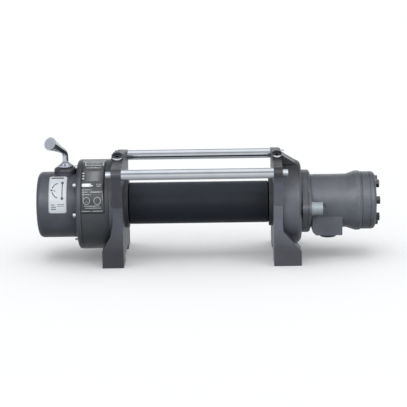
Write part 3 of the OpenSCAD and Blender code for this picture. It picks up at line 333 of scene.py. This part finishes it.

# %% [markdown]
# ## Satin paint on castings
# The supports, the gear case and the motor are castings under a thin dark paint. The paint
# follows the sand's grain, so it has a fine bump, a soft sheen and a slightly cloudy tone.
# One recipe serves them all, with a tone for each: the drum and the gear case darkest, the
# brake side and the motor lightest. Flats that face up are darkened as painted shade, or
# they would shine with the whole bright sky; on the near-black drum the top is lightened
# instead, as a painted highlight.

# %% Mix a casting paint
def casting_paint(name, colour, grain=0.00012, rough=(0.40, 0.52), sheen=0.42, shades=(), painted_top_light=0.7,
                  corner_shade=0.22):
    f = Finish(name, {"Specular IOR Level": sheen})
    cloudy = [(0.3, tint(colour, 0.82)), (0.55, colour), (0.75, tint(colour, 1.16))]
    # Ambient occlusion darkens the corners: painted shade.
    corners = mask(f, occlusion(f, reach=6, inside=False), start=0.8, end=0.3)
    tone = blend(f, corners, ramp(f, noise(f, 28, 4), cloudy), tint(colour, corner_shade))
    # Outer edges are lightened: partly wear, partly painted highlight.
    rubbed_and_lit = worn_and_lit_edges(f, reach=1.6, patch_scale=150, patch_detail=4, edge=(0.72, 0.45),
                        patch=(0.38, 0.62))
    tone = blend(f, rubbed_and_lit, tone, lift(colour, 1.5, 0.03))
    # Painted shade darkens flats that face up; a factor over one makes it a painted highlight.
    tone = darken(f, upward(f), tone, painted_top_light)
    # Bands of painted shade, and dark bands along seams.
    for shade in shades:
        tone = darken(f, band(f, shade), tone, shade.keep)
    dress(f, tone, between(f, noise(f, 120, 3), *rough),
          (noise(f, 260, 3), grain * 1.5), (noise(f, 1100, 2), grain))
    return f

# %% [markdown]
# ## Paint the supports and the drum
# A band of shade darkens both supports towards the floor, and another the right support
# above its round hub, as in the picture. The drum is black, with hardly any sheen.

# %% Paint the supports and the drum
foot_shade = Shade("Z", start=-30, end=40, soft=18, keep=0.5)
hub_shade = Shade("Z", start=axis_h + 52, end=axis_h + 90, soft=10, keep=0.22)
left_support_paint = casting_paint("left_support_paint", (0.034, 0.036, 0.044),
                                   shades=[foot_shade], painted_top_light=0.5)
# The right support gets a lighter copy of the left support's paint: painted light, for the light that
# falls more on the right.
right_support_paint = casting_paint("right_support_paint", (0.066, 0.069, 0.083),
                                    shades=[foot_shade, hub_shade], painted_top_light=0.15, corner_shade=0.7)
# The drum's top is lightened as a painted highlight.
drum_paint = casting_paint("drum_paint", (0.004, 0.006, 0.010), grain=0.00005, rough=(0.45, 0.55),
                           sheen=0.22, painted_top_light=1.6)
paint(["left_drum_support"], left_support_paint)
paint(["right_drum_support"], right_support_paint)
paint(["rope_drum"], drum_paint)

# %% [markdown]
# ## Paint the gear case
# The case, its end housing and the adapter behind it are bolted together, and each joint
# shows a dark line. A cut in the solid would be too fine, so a narrow dark band follows
# the joint, measured from the ends of the solids.

# %% Paint the gear case
case_start, case_end = span("gear_housing")
cover_end = span("end_housing")[1]
case_seams = [Shade("X", start=case_start - 1, end=case_start + 1.4, soft=0.3, keep=0.1),
              Shade("X", start=case_end - 0.6, end=case_end + 1, soft=0.3, keep=0.3)]
# The cover is darker over its flange, and bands of painted shade darken the boss under the lever and the
# cover's lower side.
cover_shades = [Shade("X", start=cover_end - 7, end=cover_end + 2, soft=0.6, keep=0.85),
                Shade("Z", start=axis_h + 50.6, end=axis_h + 70, soft=0.8, keep=0.5),
                Shade("Z", start=axis_h - 72, end=axis_h - 32, soft=8, keep=0.78)]
case_paint = casting_paint("gear_case_paint", (0.025, 0.028, 0.031), grain=0.00008, shades=case_seams)
cover_paint = casting_paint("end_housing_paint", (0.040, 0.043, 0.053), grain=0.00008,
                            shades=cover_shades)
adapter_paint = casting_paint("adapter_paint", (0.020, 0.022, 0.027), grain=0.00006)
paint(["gear_housing"], case_paint)
paint(["end_housing"], cover_paint)
paint(["adapter_plate"], adapter_paint)

# %% [markdown]
# ## Paint the motor
# The motor comes painted as one stack: body, spacer, rotor ring and end cap. It is the
# lightest grey, with a coarser grain. Its flange lies in the shade of the brake hub.

# %% Paint the motor
motor_start = span("motor_housing")[0]
# Bands of painted shade darken the flange, the top and the lower side, and a narrow dark band follows
# the joint behind the flange.
motor_shades = [Shade("X", start=motor_start - 1, end=motor_start + 14.8, soft=0.3, keep=0.72),
                Shade("Z", start=axis_h + 34, end=axis_h + 58, soft=8, keep=0.8),
                Shade("Z", start=axis_h - 72, end=axis_h - 26, soft=8, keep=0.8),
                Shade("X", start=motor_start + 14.5, end=motor_start + 16.4, soft=0.4, keep=0.3)]
motor_paint = casting_paint("motor_paint", (0.062, 0.067, 0.078), grain=0.00016, rough=(0.36, 0.48),
                            sheen=0.5, shades=motor_shades)
paint(["motor_housing", "rotor_spacer_plate", "rotor_ring", "motor_end_cap"], motor_paint)

# %% [markdown]
# ## Bright metals
# Chrome is a mirror with hardly any tone of its own: what gives it life is a trace of
# polishing marks along the piece. Zinc plating is softer and paler, and machined steel
# keeps the fine rings of the lathe, made here by a noise that is stretched along one way.

# %% Mix a bright metal
def bright_metal(name, colour, rough, depth, marks=(1, 1, 1), shades=(), metal=1.0, crevice_shade=0.3):
    f = Finish(name, {"Metallic": metal})
    cloudy = [(0.35, tint(colour, 0.93)), (0.65, colour)]
    # Ambient occlusion darkens the corners: painted shade.
    corners = mask(f, occlusion(f, reach=4, inside=False), start=0.6, end=0.15)
    tone = blend(f, corners, ramp(f, noise(f, 40, 3), cloudy), tint(colour, crevice_shade))
    # Outer edges are lightened: partly wear, partly painted highlight.
    tone = blend(f, worn_and_lit_edges(f, reach=0.8, patch_scale=220), tone, lift(colour, 0.6, 0.3))
    for shade in shades:
        tone = darken(f, band(f, shade), tone, shade.keep)
    dress(f, tone, between(f, noise(f, 150, 3, marks), *rough), (noise(f, 700, 3, marks), depth))
    return f

# %% [markdown]
# ## Plate and polish what shows
# The tie rods and the lever are chromed, small screws are zinc plated, and the screws in
# the bosses and the dark end cap are blackened. The motor's two screws are zinc plated as
# well, in a duller tone, and a band of shade darkens the shank of each up to its head.

# %% Finish the bright pieces that show
shank_shade = Shade("X", start=motor_start - 40, end=motor_start + 8, soft=1, keep=0.06)
rod_chrome = bright_metal("tie_rod_chrome", (0.76, 0.78, 0.81), (0.07, 0.13), depth=0.000004,
                          marks=(0.05, 1, 1))
lever_chrome = bright_metal("lever_chrome", (0.64, 0.66, 0.70), (0.08, 0.16), depth=0.000005)
lever_satin = bright_metal("lever_end_satin", (0.80, 0.82, 0.90), (0.42, 0.52), depth=0.000005)
zinc = bright_metal("zinc_plating", (0.40, 0.42, 0.44), (0.32, 0.46), depth=0.00003)
bolt_zinc = bright_metal("motor_bolt_zinc", (0.19, 0.215, 0.23), (0.4, 0.52), depth=0.00003,
                         shades=[shank_shade], metal=0.3)
black_oxide = bright_metal("black_oxide", (0.06, 0.06, 0.065), (0.35, 0.5), depth=0.00003)
paint(["tie_rod_front", "tie_rod_rear"], rod_chrome)
paint(["tie_rod_screws", "case_screws"], zinc)
paint(["motor_bolts", "motor_bolt_washers"], bolt_zinc)
paint(["bracket_screws", "end_cap_bolts"], black_oxide)

# %% [markdown]
# ## Steel and bronze inside
# Shafts, pins, plates and gears are bare machined steel, and the small bearings are
# bronze. They show when the winch is taken apart, so they get the lathe's marks as well.

# %% Finish the gear train, the brake and the bearings
turned_steel = bright_metal("turned_steel", (0.56, 0.57, 0.59), (0.24, 0.38), depth=0.00002,
                            marks=(6, 1, 1))
gear_steel = bright_metal("gear_steel", (0.42, 0.43, 0.45), (0.28, 0.42), depth=0.00003,
                          marks=(3, 1, 1))
bronze = bright_metal("bearing_bronze", (0.62, 0.42, 0.20), (0.28, 0.4), depth=0.00002,
                      marks=(4, 1, 1))
planets = [stage + "_planet_" + number for stage in ("output", "input") for number in "123"]
paint(["mounting_nuts", "rope_anchor_screw", "drive_shaft", "motor_shaft", "drive_coupling",
       "motor_drive_link", "output_planet_pins", "input_planet_pins", "brake_torque_pins",
       "brake_spring", "brake_pressure_plate", "brake_steel_plates", "rotor_rollers", "rotor_star",
       "shift_crank"], turned_steel)
paint(planets + ["output_ring_gear", "output_carrier", "output_sun_gear", "clutch_lock_ring",
                 "clutch_ring_gear", "input_carrier", "input_sun_gear", "stage_divider"], gear_steel)
paint(["divider_bushing", "shaft_thrust_pad", "lever_bushing", "motor_shaft_bearing"], bronze)

# %% [markdown]
# ## Plastic, rubber and lining
# The drum's flanged bushings are a black bearing plastic, the seals are rubber and the
# brake discs carry a rough lining. They are dull, so tone and roughness vary together.

# %% Make the dull finishes
def dull_finish(name, colour, rough, scale, depth):
    f = Finish(name)
    spots = noise(f, scale, 4)
    tone = ramp(f, spots, [(0.3, tint(colour, 0.8)), (0.7, tint(colour, 1.2))])
    # Outer edges are lightened: partly wear, partly painted highlight.
    tone = blend(f, worn_and_lit_edges(f, reach=1.0, patch_scale=200), tone, lift(colour, 1.3, 0.02))
    dress(f, tone, between(f, spots, *rough), (noise(f, scale * 4, 2), depth))
    return f

bushing_plastic = dull_finish("bushing_plastic", (0.016, 0.016, 0.019), (0.42, 0.56), 180, 0.00003)
seal_rubber = dull_finish("seal_rubber", (0.014, 0.014, 0.015), (0.6, 0.75), 260, 0.00004)
brake_lining = dull_finish("brake_lining", (0.12, 0.09, 0.06), (0.75, 0.9), 900, 0.00008)
paint(["left_drum_bushing", "right_drum_bushing"], bushing_plastic)
paint(["drum_seals", "motor_shaft_seal", "case_gasket"], seal_rubber)
paint(["brake_friction_discs"], brake_lining)

# %% [markdown]
# ## Rounded edges
# No real casting has a knife edge. A Bevel modifier rounds the edges of a solid without
# touching its mesh, but flat faces that came in as triangles would make it stumble, so a
# planar Decimate joins them first, and a Weighted Normal keeps the flats looking flat.

# %% Round the edges of the visible solids
def round_edges(node, width, segments=3, sharper_than=32, flat_within=0.8):
    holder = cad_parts[node]
    flats = holder.modifiers.new("join_flats", "DECIMATE")
    flats.decimate_type = "DISSOLVE"
    flats.angle_limit = math.radians(flat_within)
    edge = holder.modifiers.new("round_edges", "BEVEL")
    edge.width = width * MM
    edge.segments = segments
    edge.limit_method = "ANGLE"
    edge.angle_limit = math.radians(sharper_than)
    edge.miter_outer = "MITER_ARC"
    edge.harden_normals = True
    shading = holder.modifiers.new("flat_shading", "WEIGHTED_NORMAL")
    shading.keep_sharp = True

edge_widths = {
    "left_drum_support": 1.6, "right_drum_support": 1.6, "end_housing": 0.5, "motor_housing": 0.8,
    "gear_housing": 0.3, "adapter_plate": 0.4, "motor_end_cap": 0.3, "rotor_ring": 0.3,
    "rotor_spacer_plate": 0.3, "tie_rod_screws": 0.9, "case_screws": 0.5, "motor_bolts": 1.4,
    "motor_bolt_washers": 0.3, "end_cap_bolts": 0.6, "bracket_screws": 0.4, "mounting_nuts": 0.5,
    "left_drum_bushing": 0.6, "right_drum_bushing": 0.6}
for node, width in edge_widths.items():
    round_edges(node, width)
print("rounded:", len(edge_widths))

# %% [markdown]
# ## From loose faces to a piece
# The lever, the rims and the labels are built face by face. Two small helpers end each of
# them: one turns the faces into a smooth object, the other gives a thin skin its thickness
# with a Solidify modifier that grows inwards, so that the outer size stays as drawn.

# %% Helpers for built pieces
def make_piece(name, mesh, finish):
    data = bpy.data.meshes.new(name)
    mesh.to_mesh(data)
    mesh.free()
    for face in data.polygons:
        face.use_smooth = True
    data.materials.append(finish.material)
    piece = bpy.data.objects.new(name, data)
    bpy.context.scene.collection.objects.link(piece)
    return piece

def thicken(piece, thick):
    skin = piece.modifiers.new("thickness", "SOLIDIFY")
    skin.thickness = thick * MM
    skin.offset = -1

# %% [markdown]
# ## The clutch lever
# The lever is one forged and chromed piece: a bell-shaped skirt over the boss, a thin
# neck, a tight bend and a handle that flares to a broad dished end. Such a body is a stack
# of rings along a path, with a radius for each ring, so it is built that way and smoothed.
# The neck's straight and bent parts and the flare are formulas; only the stem's foot, the
# skirt and the dish are drawn point by point, as height or reach and radius.

# %% Lay out the lever's rings
lever_x = sum(span("lever_bushing")) / 2
stem_foot = span("clutch_lever", Z)[0] - axis_h
neck_r = 4.5
neck_top = boss_top + 16.65
bend_r = 10.0
handle_len = 36.0
handle_end_r = 10.0
handle_rise = math.radians(27.0)
handle_out = math.radians(29.6)
upright = math.pi / 2
way = Vector((-math.sin(handle_out), -math.cos(handle_out), 0))
side = Vector((way.y, -way.x, 0))
foot_outline = [(0, 0.3), (0, 4.1), (0.4, neck_r)]
skirt_outline = [(0.35, neck_r), (0.35, 11.0), (0.6, 11.6), (1.4, 11.75), (2.2, 11.6), (2.8, 11.2),
                 (3.2, 10.5), (3.7, 9.4), (4.5, 8.0), (5.6, 6.7), (7.0, 5.6), (8.6, 4.9),
                 (10.6, 4.55), (14.6, neck_r)]
dish_outline = [(0.5, 9.95), (0.85, 9.6), (1.0, 8.9), (0.7, 8.3), (0.6, 7.0), (0.75, 4), (0.8, 0.3)]
rings = []

def ring(along, height, lean, radius):
    heading = way * math.cos(lean) + Vector((0, 0, math.sin(lean)))
    rings.append((Vector((lever_x, 0, axis_h + height)) + way * along, heading, radius))

def handle_ring(reach, radius):
    turned = upright - handle_rise
    along = bend_r * (1 - math.cos(turned)) + reach * math.cos(handle_rise)
    height = neck_top + bend_r * math.sin(turned) + reach * math.sin(handle_rise)
    ring(along, height, handle_rise, radius)

# %% [markdown]
# ## String the rings along the lever
# Ten steps are enough for the tight bend and twelve for the long flare, because smooth
# shading hides the rest. The flare opens slowly at first and faster towards its end, which
# a power a little over one gives.

# %% String the rings
bend_steps, flare_steps, flare_power = 10, 12, 1.3
for height, radius in foot_outline:
    ring(0, stem_foot + height, upright, radius)
for height, radius in skirt_outline:
    ring(0, boss_top + height, upright, radius)
for i in range(bend_steps + 1):
    bent = (upright - handle_rise) * i / bend_steps
    ring(bend_r * (1 - math.cos(bent)), neck_top + bend_r * math.sin(bent), upright - bent, neck_r)
for i in range(1, flare_steps + 1):
    share = i / flare_steps
    handle_ring(handle_len * share, neck_r + (handle_end_r - neck_r) * share ** flare_power)
for beyond, radius in dish_outline:
    handle_ring(handle_len + beyond, radius)
print("lever rings:", len(rings), "axis at X", round(lever_x, 2))

# %% [markdown]
# ## Skin the rings
# Faces join each ring to the next, and a cap closes either end. The skirt's rim and the
# dished end are ground satin, so their faces get a second material. They are found by
# counting: faces come in rows of one ring each, in the order in which they were made.

# %% Build the lever
def ring_body(name, rings, around, finish):
    mesh = bmesh.new()
    loops = []
    for centre, heading, radius in rings:
        third = heading.cross(side)
        loops.append([mesh.verts.new((centre + (side * math.cos(t) + third * math.sin(t)) * radius) * MM)
                      for t in (2 * math.pi * k / around for k in range(around))])
    for a, b in zip(loops, loops[1:]):
        for k in range(around):
            mesh.faces.new((a[k], a[(k + 1) % around], b[(k + 1) % around], b[k]))
    mesh.faces.new(loops[0][::-1])
    mesh.faces.new(loops[-1])
    bmesh.ops.recalc_face_normals(mesh, faces=mesh.faces)
    return make_piece(name, mesh, finish)

faces_around, end_rows, end_cap = 48, 5, 1
skirt_first, skirt_last = 4, 8
lever = ring_body("forged_lever", rings, faces_around, lever_chrome)
lever.data.materials.append(lever_satin.material)
skirt_faces = lever.data.polygons[faces_around * skirt_first:faces_around * skirt_last]
end_faces = lever.data.polygons[-faces_around * end_rows - end_cap:]
for face in list(skirt_faces) + list(end_faces):
    face.material_index = 1
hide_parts("clutch_lever")
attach(lever, "clutch_lever_set")
print("lever faces:", len(lever.data.polygons))

# %% [markdown]
# ## Bright rims on the bosses
# Each tilted boss shows a thin crescent of light below its bracket screw, at the front of
# its edge, and a pale rim stands for it as a painted highlight. Painting it would need a
# mask that follows the edge, so each rim is a thin band of its own, laid over the rounded
# edge and narrowed towards both ends.

# %% Lay a rim over a boss
boss_tilt = math.radians(25)
boss_y, boss_rise = -28, 80.2
rim_edge_r, rim_proud, rim_thick = 1.6, 0.14, 0.3
rim_half, rim_top, rim_side = math.radians(60), math.radians(55), 2.0
rim_steps, lip_steps = 40, 5
least_share, end_phase = 0.04, math.radians(88)

def rim_section(boss_r, share):
    lip_r = rim_edge_r + rim_proud
    spots = []
    for i in range(lip_steps + 1):
        up = rim_top * (1 - i / lip_steps) * share
        spots.append((boss_r - rim_edge_r + lip_r * math.cos(up), lip_r * math.sin(up) - rim_edge_r))
    out, height = spots[-1]
    return spots + [(out, height - rim_side * share)]

def boss_rim(name, boss_x, boss_r, finish):
    lean = Matrix.Rotation(boss_tilt, 3, "X")
    seat = Vector((boss_x, boss_y, axis_h + boss_rise))
    mesh = bmesh.new()
    lines = []
    for k in range(rim_steps + 1):
        around = rim_half * (2 * k / rim_steps - 1)
        share = max(least_share, math.cos(around / rim_half * end_phase))
        outward = Vector((math.sin(around), -math.cos(around), 0))
        lines.append([mesh.verts.new((seat + lean @ (outward * out + Vector((0, 0, height)))) * MM)
                      for out, height in rim_section(boss_r, share)])
    for a, b in zip(lines, lines[1:]):
        for i in range(len(a) - 1):
            mesh.faces.new((a[i], b[i], b[i + 1], a[i + 1]))
    piece = make_piece(name, mesh, finish)
    thicken(piece, rim_thick)
    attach(piece, "frame")
    return piece

# %% [markdown]
# ## Place both rims
# The bosses stand over the bracket screws, so the rims are centred on the heads of those.
# Their pale tone is the painted highlight, and hardly a mirror, because so small a curved
# mirror would only show one bright dot. The right boss is the narrower of the two.

# %% Make the bright rims
# A pale, barely metallic tone: painted highlight.
rim_highlight = bright_metal("rim_painted_highlight", (0.50, 0.52, 0.57), (0.3, 0.42), depth=0.00002,
                         metal=0.1, crevice_shade=0.9)
screw_head_r = 5.6
first_screw, last_screw = span("bracket_screws")
boss_rim("left_boss_rim", first_screw + screw_head_r, 8.6, rim_highlight)
boss_rim("right_boss_rim", last_screw - screw_head_r, 7.1, rim_highlight)
print("rims at X", round(first_screw + screw_head_r, 1), "and", round(last_screw - screw_head_r, 1))

# %% [markdown]
# ## Labels
# Both labels are thin stickers bent round the housings. A sticker is drawn flat, in
# millimetres along the drum and round the curve, and wrapped onto the cylinder point by
# point. The printing is a second thin sheet on top, so it stays sharp at any distance.
# The shapes to draw with are a bar, a ring or part of one, a dot, a slanted bar and the
# sheet with its rounded corners.

# %% Shapes to draw with
BAR_STEP = 1.2
ARC_STEP = 6

def bar(left, right, low, high):
    count = max(1, int(abs(high - low) / BAR_STEP) + 1)
    return [[(left + (right - left) * i / 2, low + (high - low) * k / count) for i in range(3)]
            for k in range(count + 1)]

def arc(u, v, radius, width, start=0, end=360):
    count = max(6, int(abs(end - start) / ARC_STEP))
    angles = [math.radians(start + (end - start) * k / count) for k in range(count + 1)]
    edges = (radius - width / 2, radius + width / 2)
    return [[(u + edge * math.cos(a), v + edge * math.sin(a)) for edge in edges] for a in angles]

def dot(u, v, radius, pinhole=0.02):
    return arc(u, v, (radius + pinhole) / 2, radius - pinhole)

def slant(u0, v0, u1, v1, width):
    along = Vector((u1 - u0, v1 - v0)).normalized()
    off = Vector((-along.y, along.x)) * width / 2
    return [[(u0 + (u1 - u0) * t - off.x, v0 + (v1 - v0) * t - off.y),
             (u0 + (u1 - u0) * t + off.x, v0 + (v1 - v0) * t + off.y)] for t in (0, 0.34, 0.67, 1)]

def sheet(width, height, corner_r, rows=48, columns=8):
    drawn = []
    for k in range(rows + 1):
        v = height * k / rows
        below_arc = max(0, corner_r - min(v, height - v))
        inset = corner_r - math.sqrt(max(0, corner_r ** 2 - below_arc ** 2))
        drawn.append([(inset + (width - 2 * inset) * i / columns, v) for i in range(columns + 1)])
    return drawn

# %% [markdown]
# ## Bend a sticker round a housing
# A Simple Deform modifier could bend a flat sheet, but it bends about the sheet's own
# middle and would need an empty to aim it. Here each point's height on the flat drawing
# becomes an angle round the drum axis, which puts it on the housing at once.

# %% Wrap a drawing round the axis
SAME_POINT = 1e-6

def wrap(name, shapes, left, low_angle, radius, thick, finish):
    mesh = bmesh.new()
    for rows in shapes:
        grid = []
        for row in rows:
            line = []
            for u, v in row:
                angle = math.radians(low_angle) + v / radius
                line.append(mesh.verts.new(Vector((left + u, -radius * math.cos(angle),
                                                   axis_h + radius * math.sin(angle))) * MM))
            grid.append(line)
        for a, b in zip(grid, grid[1:]):
            for i in range(len(a) - 1):
                mesh.faces.new((a[i], a[i + 1], b[i + 1], b[i]))
    bmesh.ops.remove_doubles(mesh, verts=mesh.verts, dist=SAME_POINT)
    mesh.normal_update()
    for face in mesh.faces:
        centre = face.calc_center_median()
        if face.normal.dot(Vector((0, centre.y, centre.z - axis_h * MM))) < 0:
            face.normal_flip()
    piece = make_piece(name, mesh, finish)
    thicken(piece, thick)
    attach(piece, "frame")
    return piece

# %% [markdown]
# ## Sticker film and ink
# Printed film has a clear coat over an even tone. The tone varies only by a few parts in a
# hundred, but the roughness more, which shows where a hand has wiped it.

# %% Make the sticker finishes
def sticker_finish(name, colour, rough):
    f = Finish(name, {"Coat Weight": 0.25})
    tone = ramp(f, noise(f, 60, 4), [(0.3, tint(colour, 0.94)), (0.7, colour)])
    dress(f, tone, between(f, noise(f, 300, 3), *rough), (noise(f, 90, 2), 0.00003))
    return f

white_sticker = sticker_finish("white_sticker", (0.33, 0.345, 0.365), (0.38, 0.5))
dark_sticker = sticker_finish("dark_sticker", (0.014, 0.015, 0.017), (0.3, 0.45))
dark_print = sticker_finish("dark_print", (0.03, 0.032, 0.036), (0.35, 0.5))
grey_print = sticker_finish("grey_print", (0.10, 0.10, 0.105), (0.35, 0.5))
pale_print = sticker_finish("pale_print", (0.52, 0.54, 0.56), (0.3, 0.42))
ruled_print = sticker_finish("ruled_print", (0.26, 0.27, 0.28), (0.3, 0.45))
FILM, INK, PANEL_INK = 0.3, 0.05, 0.03
INK_LIFT, PANEL_LIFT = 0.06, 0.04
print("film mm:", FILM, "ink mm:", INK)

# %% [markdown]
# ## The white label on the end housing
# It explains the lever with a plain scale: a half-round arc from one lever position to the
# other, a straight line between two dots, and a pointer, with bars above and below.

# %% Print the end label
label_left, label_right = span("end_label")
label_w = label_right - label_left
label_low, label_angle = -3, 72
end_r = -span("end_label", Y)[0]
label_h = math.radians(label_angle) * end_r
end_plate = wrap("end_label_sheet", [sheet(label_w, label_h, corner_r=2.6)], label_left, label_low,
                 end_r, FILM, white_sticker)
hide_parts("end_label")
scale_print = [bar(3.0, 21.5, 57.6, 60.6),
               bar(19.6, 21.0, 23.5, 47.5), dot(20.3, 48.6, 2.2), dot(20.3, 22.6, 2.2),
               arc(18.2, 35.6, 13.2, 1.5, 112, 166), arc(18.2, 35.6, 13.2, 1.5, 194, 248),
               dot(4.4, 35.6, 1.5), slant(6.2, 35.4, 10.4, 33.8, 0.9),
               bar(4.0, 11.0, 6.0, 7.2), bar(4.0, 11.0, 9.2, 10.4), bar(4.0, 9.0, 12.4, 13.6),
               bar(13.0, 23.5, 13.2, 13.9), bar(13.0, 23.5, 10.8, 11.5)]
wrap("end_label_print", scale_print, label_left, label_low, end_r + INK_LIFT, INK, dark_print)
print("end label mm:", round(label_w, 1), "x", round(label_h, 1))

# %% [markdown]
# ## The dark label on the gear case
# The dark label is a data plate: a frame at the top, a grey panel, a few pale fields, ruled
# bars and two plain rings. It was drawn for a plate of one size and is stretched to the
# plate that the gear case carries, so it fits again if the case changes.

# %% Cut the case label
plate_left, plate_right = span("case_label")
plate_w = plate_right - plate_left
plate_low, plate_high = 0.5, 86
film_lift = 0.35
case_bottom, case_top = span("gear_housing", Z)
case_r = (case_top - case_bottom) / 2 + film_lift
plate_h = math.radians(plate_high - plate_low) * case_r
case_plate = wrap("case_label_sheet", [sheet(plate_w, plate_h, corner_r=0.8)], plate_left, plate_low,
                  case_r, FILM, dark_sticker)
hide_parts("case_label")
print("case label mm:", round(plate_w, 1), "x", round(plate_h, 1))

# %% [markdown]
# ## Fill the plate
# Three inks are enough: the panel's grey lies lowest, and the pale fields and the ruled
# bars a hair higher, so that no two sheets share a surface and flicker.

# %% Print its fields
drawn_w, drawn_h = 38, 104

def fitted(shapes):
    return [[[(u * plate_w / drawn_w, v * plate_h / drawn_h) for u, v in row] for row in rows]
            for rows in shapes]

panels = [bar(8.5, 34.2, 51.0, 70.0), bar(6.4, 33.4, 85.0, 95.4)]
pale_fields = [bar(1.6, 4.8, 65.3, 66.8), bar(1.6, 4.8, 59.9, 61.4), bar(1.6, 4.8, 54.7, 56.2),
               bar(1.4, 16.5, 41.5, 46.8), bar(16.5, 19.5, 42.4, 44.0)]
title_frame = [bar(4.4, 35.4, 83.4, 85.0), bar(4.4, 6.4, 85.0, 97.0), bar(33.4, 35.4, 85.0, 97.0),
               bar(6.4, 33.4, 95.4, 97.0)]
ruled = title_frame + [
    bar(7, 31.5, 77.4, 79.2),
    bar(14.5, 35.0, 32.0, 33.8), bar(0.8, 16.0, 3.2, 4.2), bar(18.0, 35.4, 3.2, 4.2),
    bar(25.0, 28.0, 44.6, 46.2), bar(29.4, 33.0, 44.6, 46.2), bar(25.0, 33.0, 41.6, 43.0),
    bar(1.2, 18.5, 36.0, 37.0), bar(1.2, 12.0, 32.4, 33.4), bar(1.2, 17.0, 28.6, 29.5),
    arc(9.0, 19.4, 5.3, 0.8), arc(26.6, 19.4, 5.4, 0.9), bar(6.6, 11.4, 17.4, 18.0),
    bar(5.0, 31.0, 11.0, 12.0), bar(7.0, 33.0, 7.9, 8.9)]
wrap("case_label_panel", fitted(panels), plate_left, plate_low, case_r + PANEL_LIFT, PANEL_INK,
     grey_print)
wrap("case_label_fields", fitted(pale_fields), plate_left, plate_low, case_r + INK_LIFT, INK, pale_print)
wrap("case_label_rules", fitted(ruled), plate_left, plate_low, case_r + INK_LIFT, INK, ruled_print)
print("case label shapes:", len(panels) + len(pale_fields) + len(ruled))

# %% [markdown]
# ## Which lamp lights what
# A lamp throws a hard white spot into chrome, and a studio would mask it off with a flag.
# Light linking does the same here: the lamps leave the chrome to the sky, and the front
# ones leave out the floor, so that the winch's shadow lies under it and not behind it.

# %% Link the lamps
def choose_light(name, lamps, pieces, state):
    chosen = bpy.data.collections.new(name)
    for piece in pieces:
        chosen.objects.link(piece)
    for row in chosen.collection_objects:
        row.light_linking.link_state = state
    for lamp in lamps:
        lamp.light_linking.receiver_collection = chosen
    print(name, state, len(pieces), "pieces,", len(lamps), "lamps")

chromed = [lever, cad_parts["tie_rod_front"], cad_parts["tie_rod_rear"]]
choose_light("front_leaves_out", front_lamps + [back_light], chromed + [floor], "EXCLUDE")
choose_light("overhead_leaves_out", [overhead_light], chromed, "EXCLUDE")
choose_light("fill_lights_only", [floor_fill], [floor], "INCLUDE")
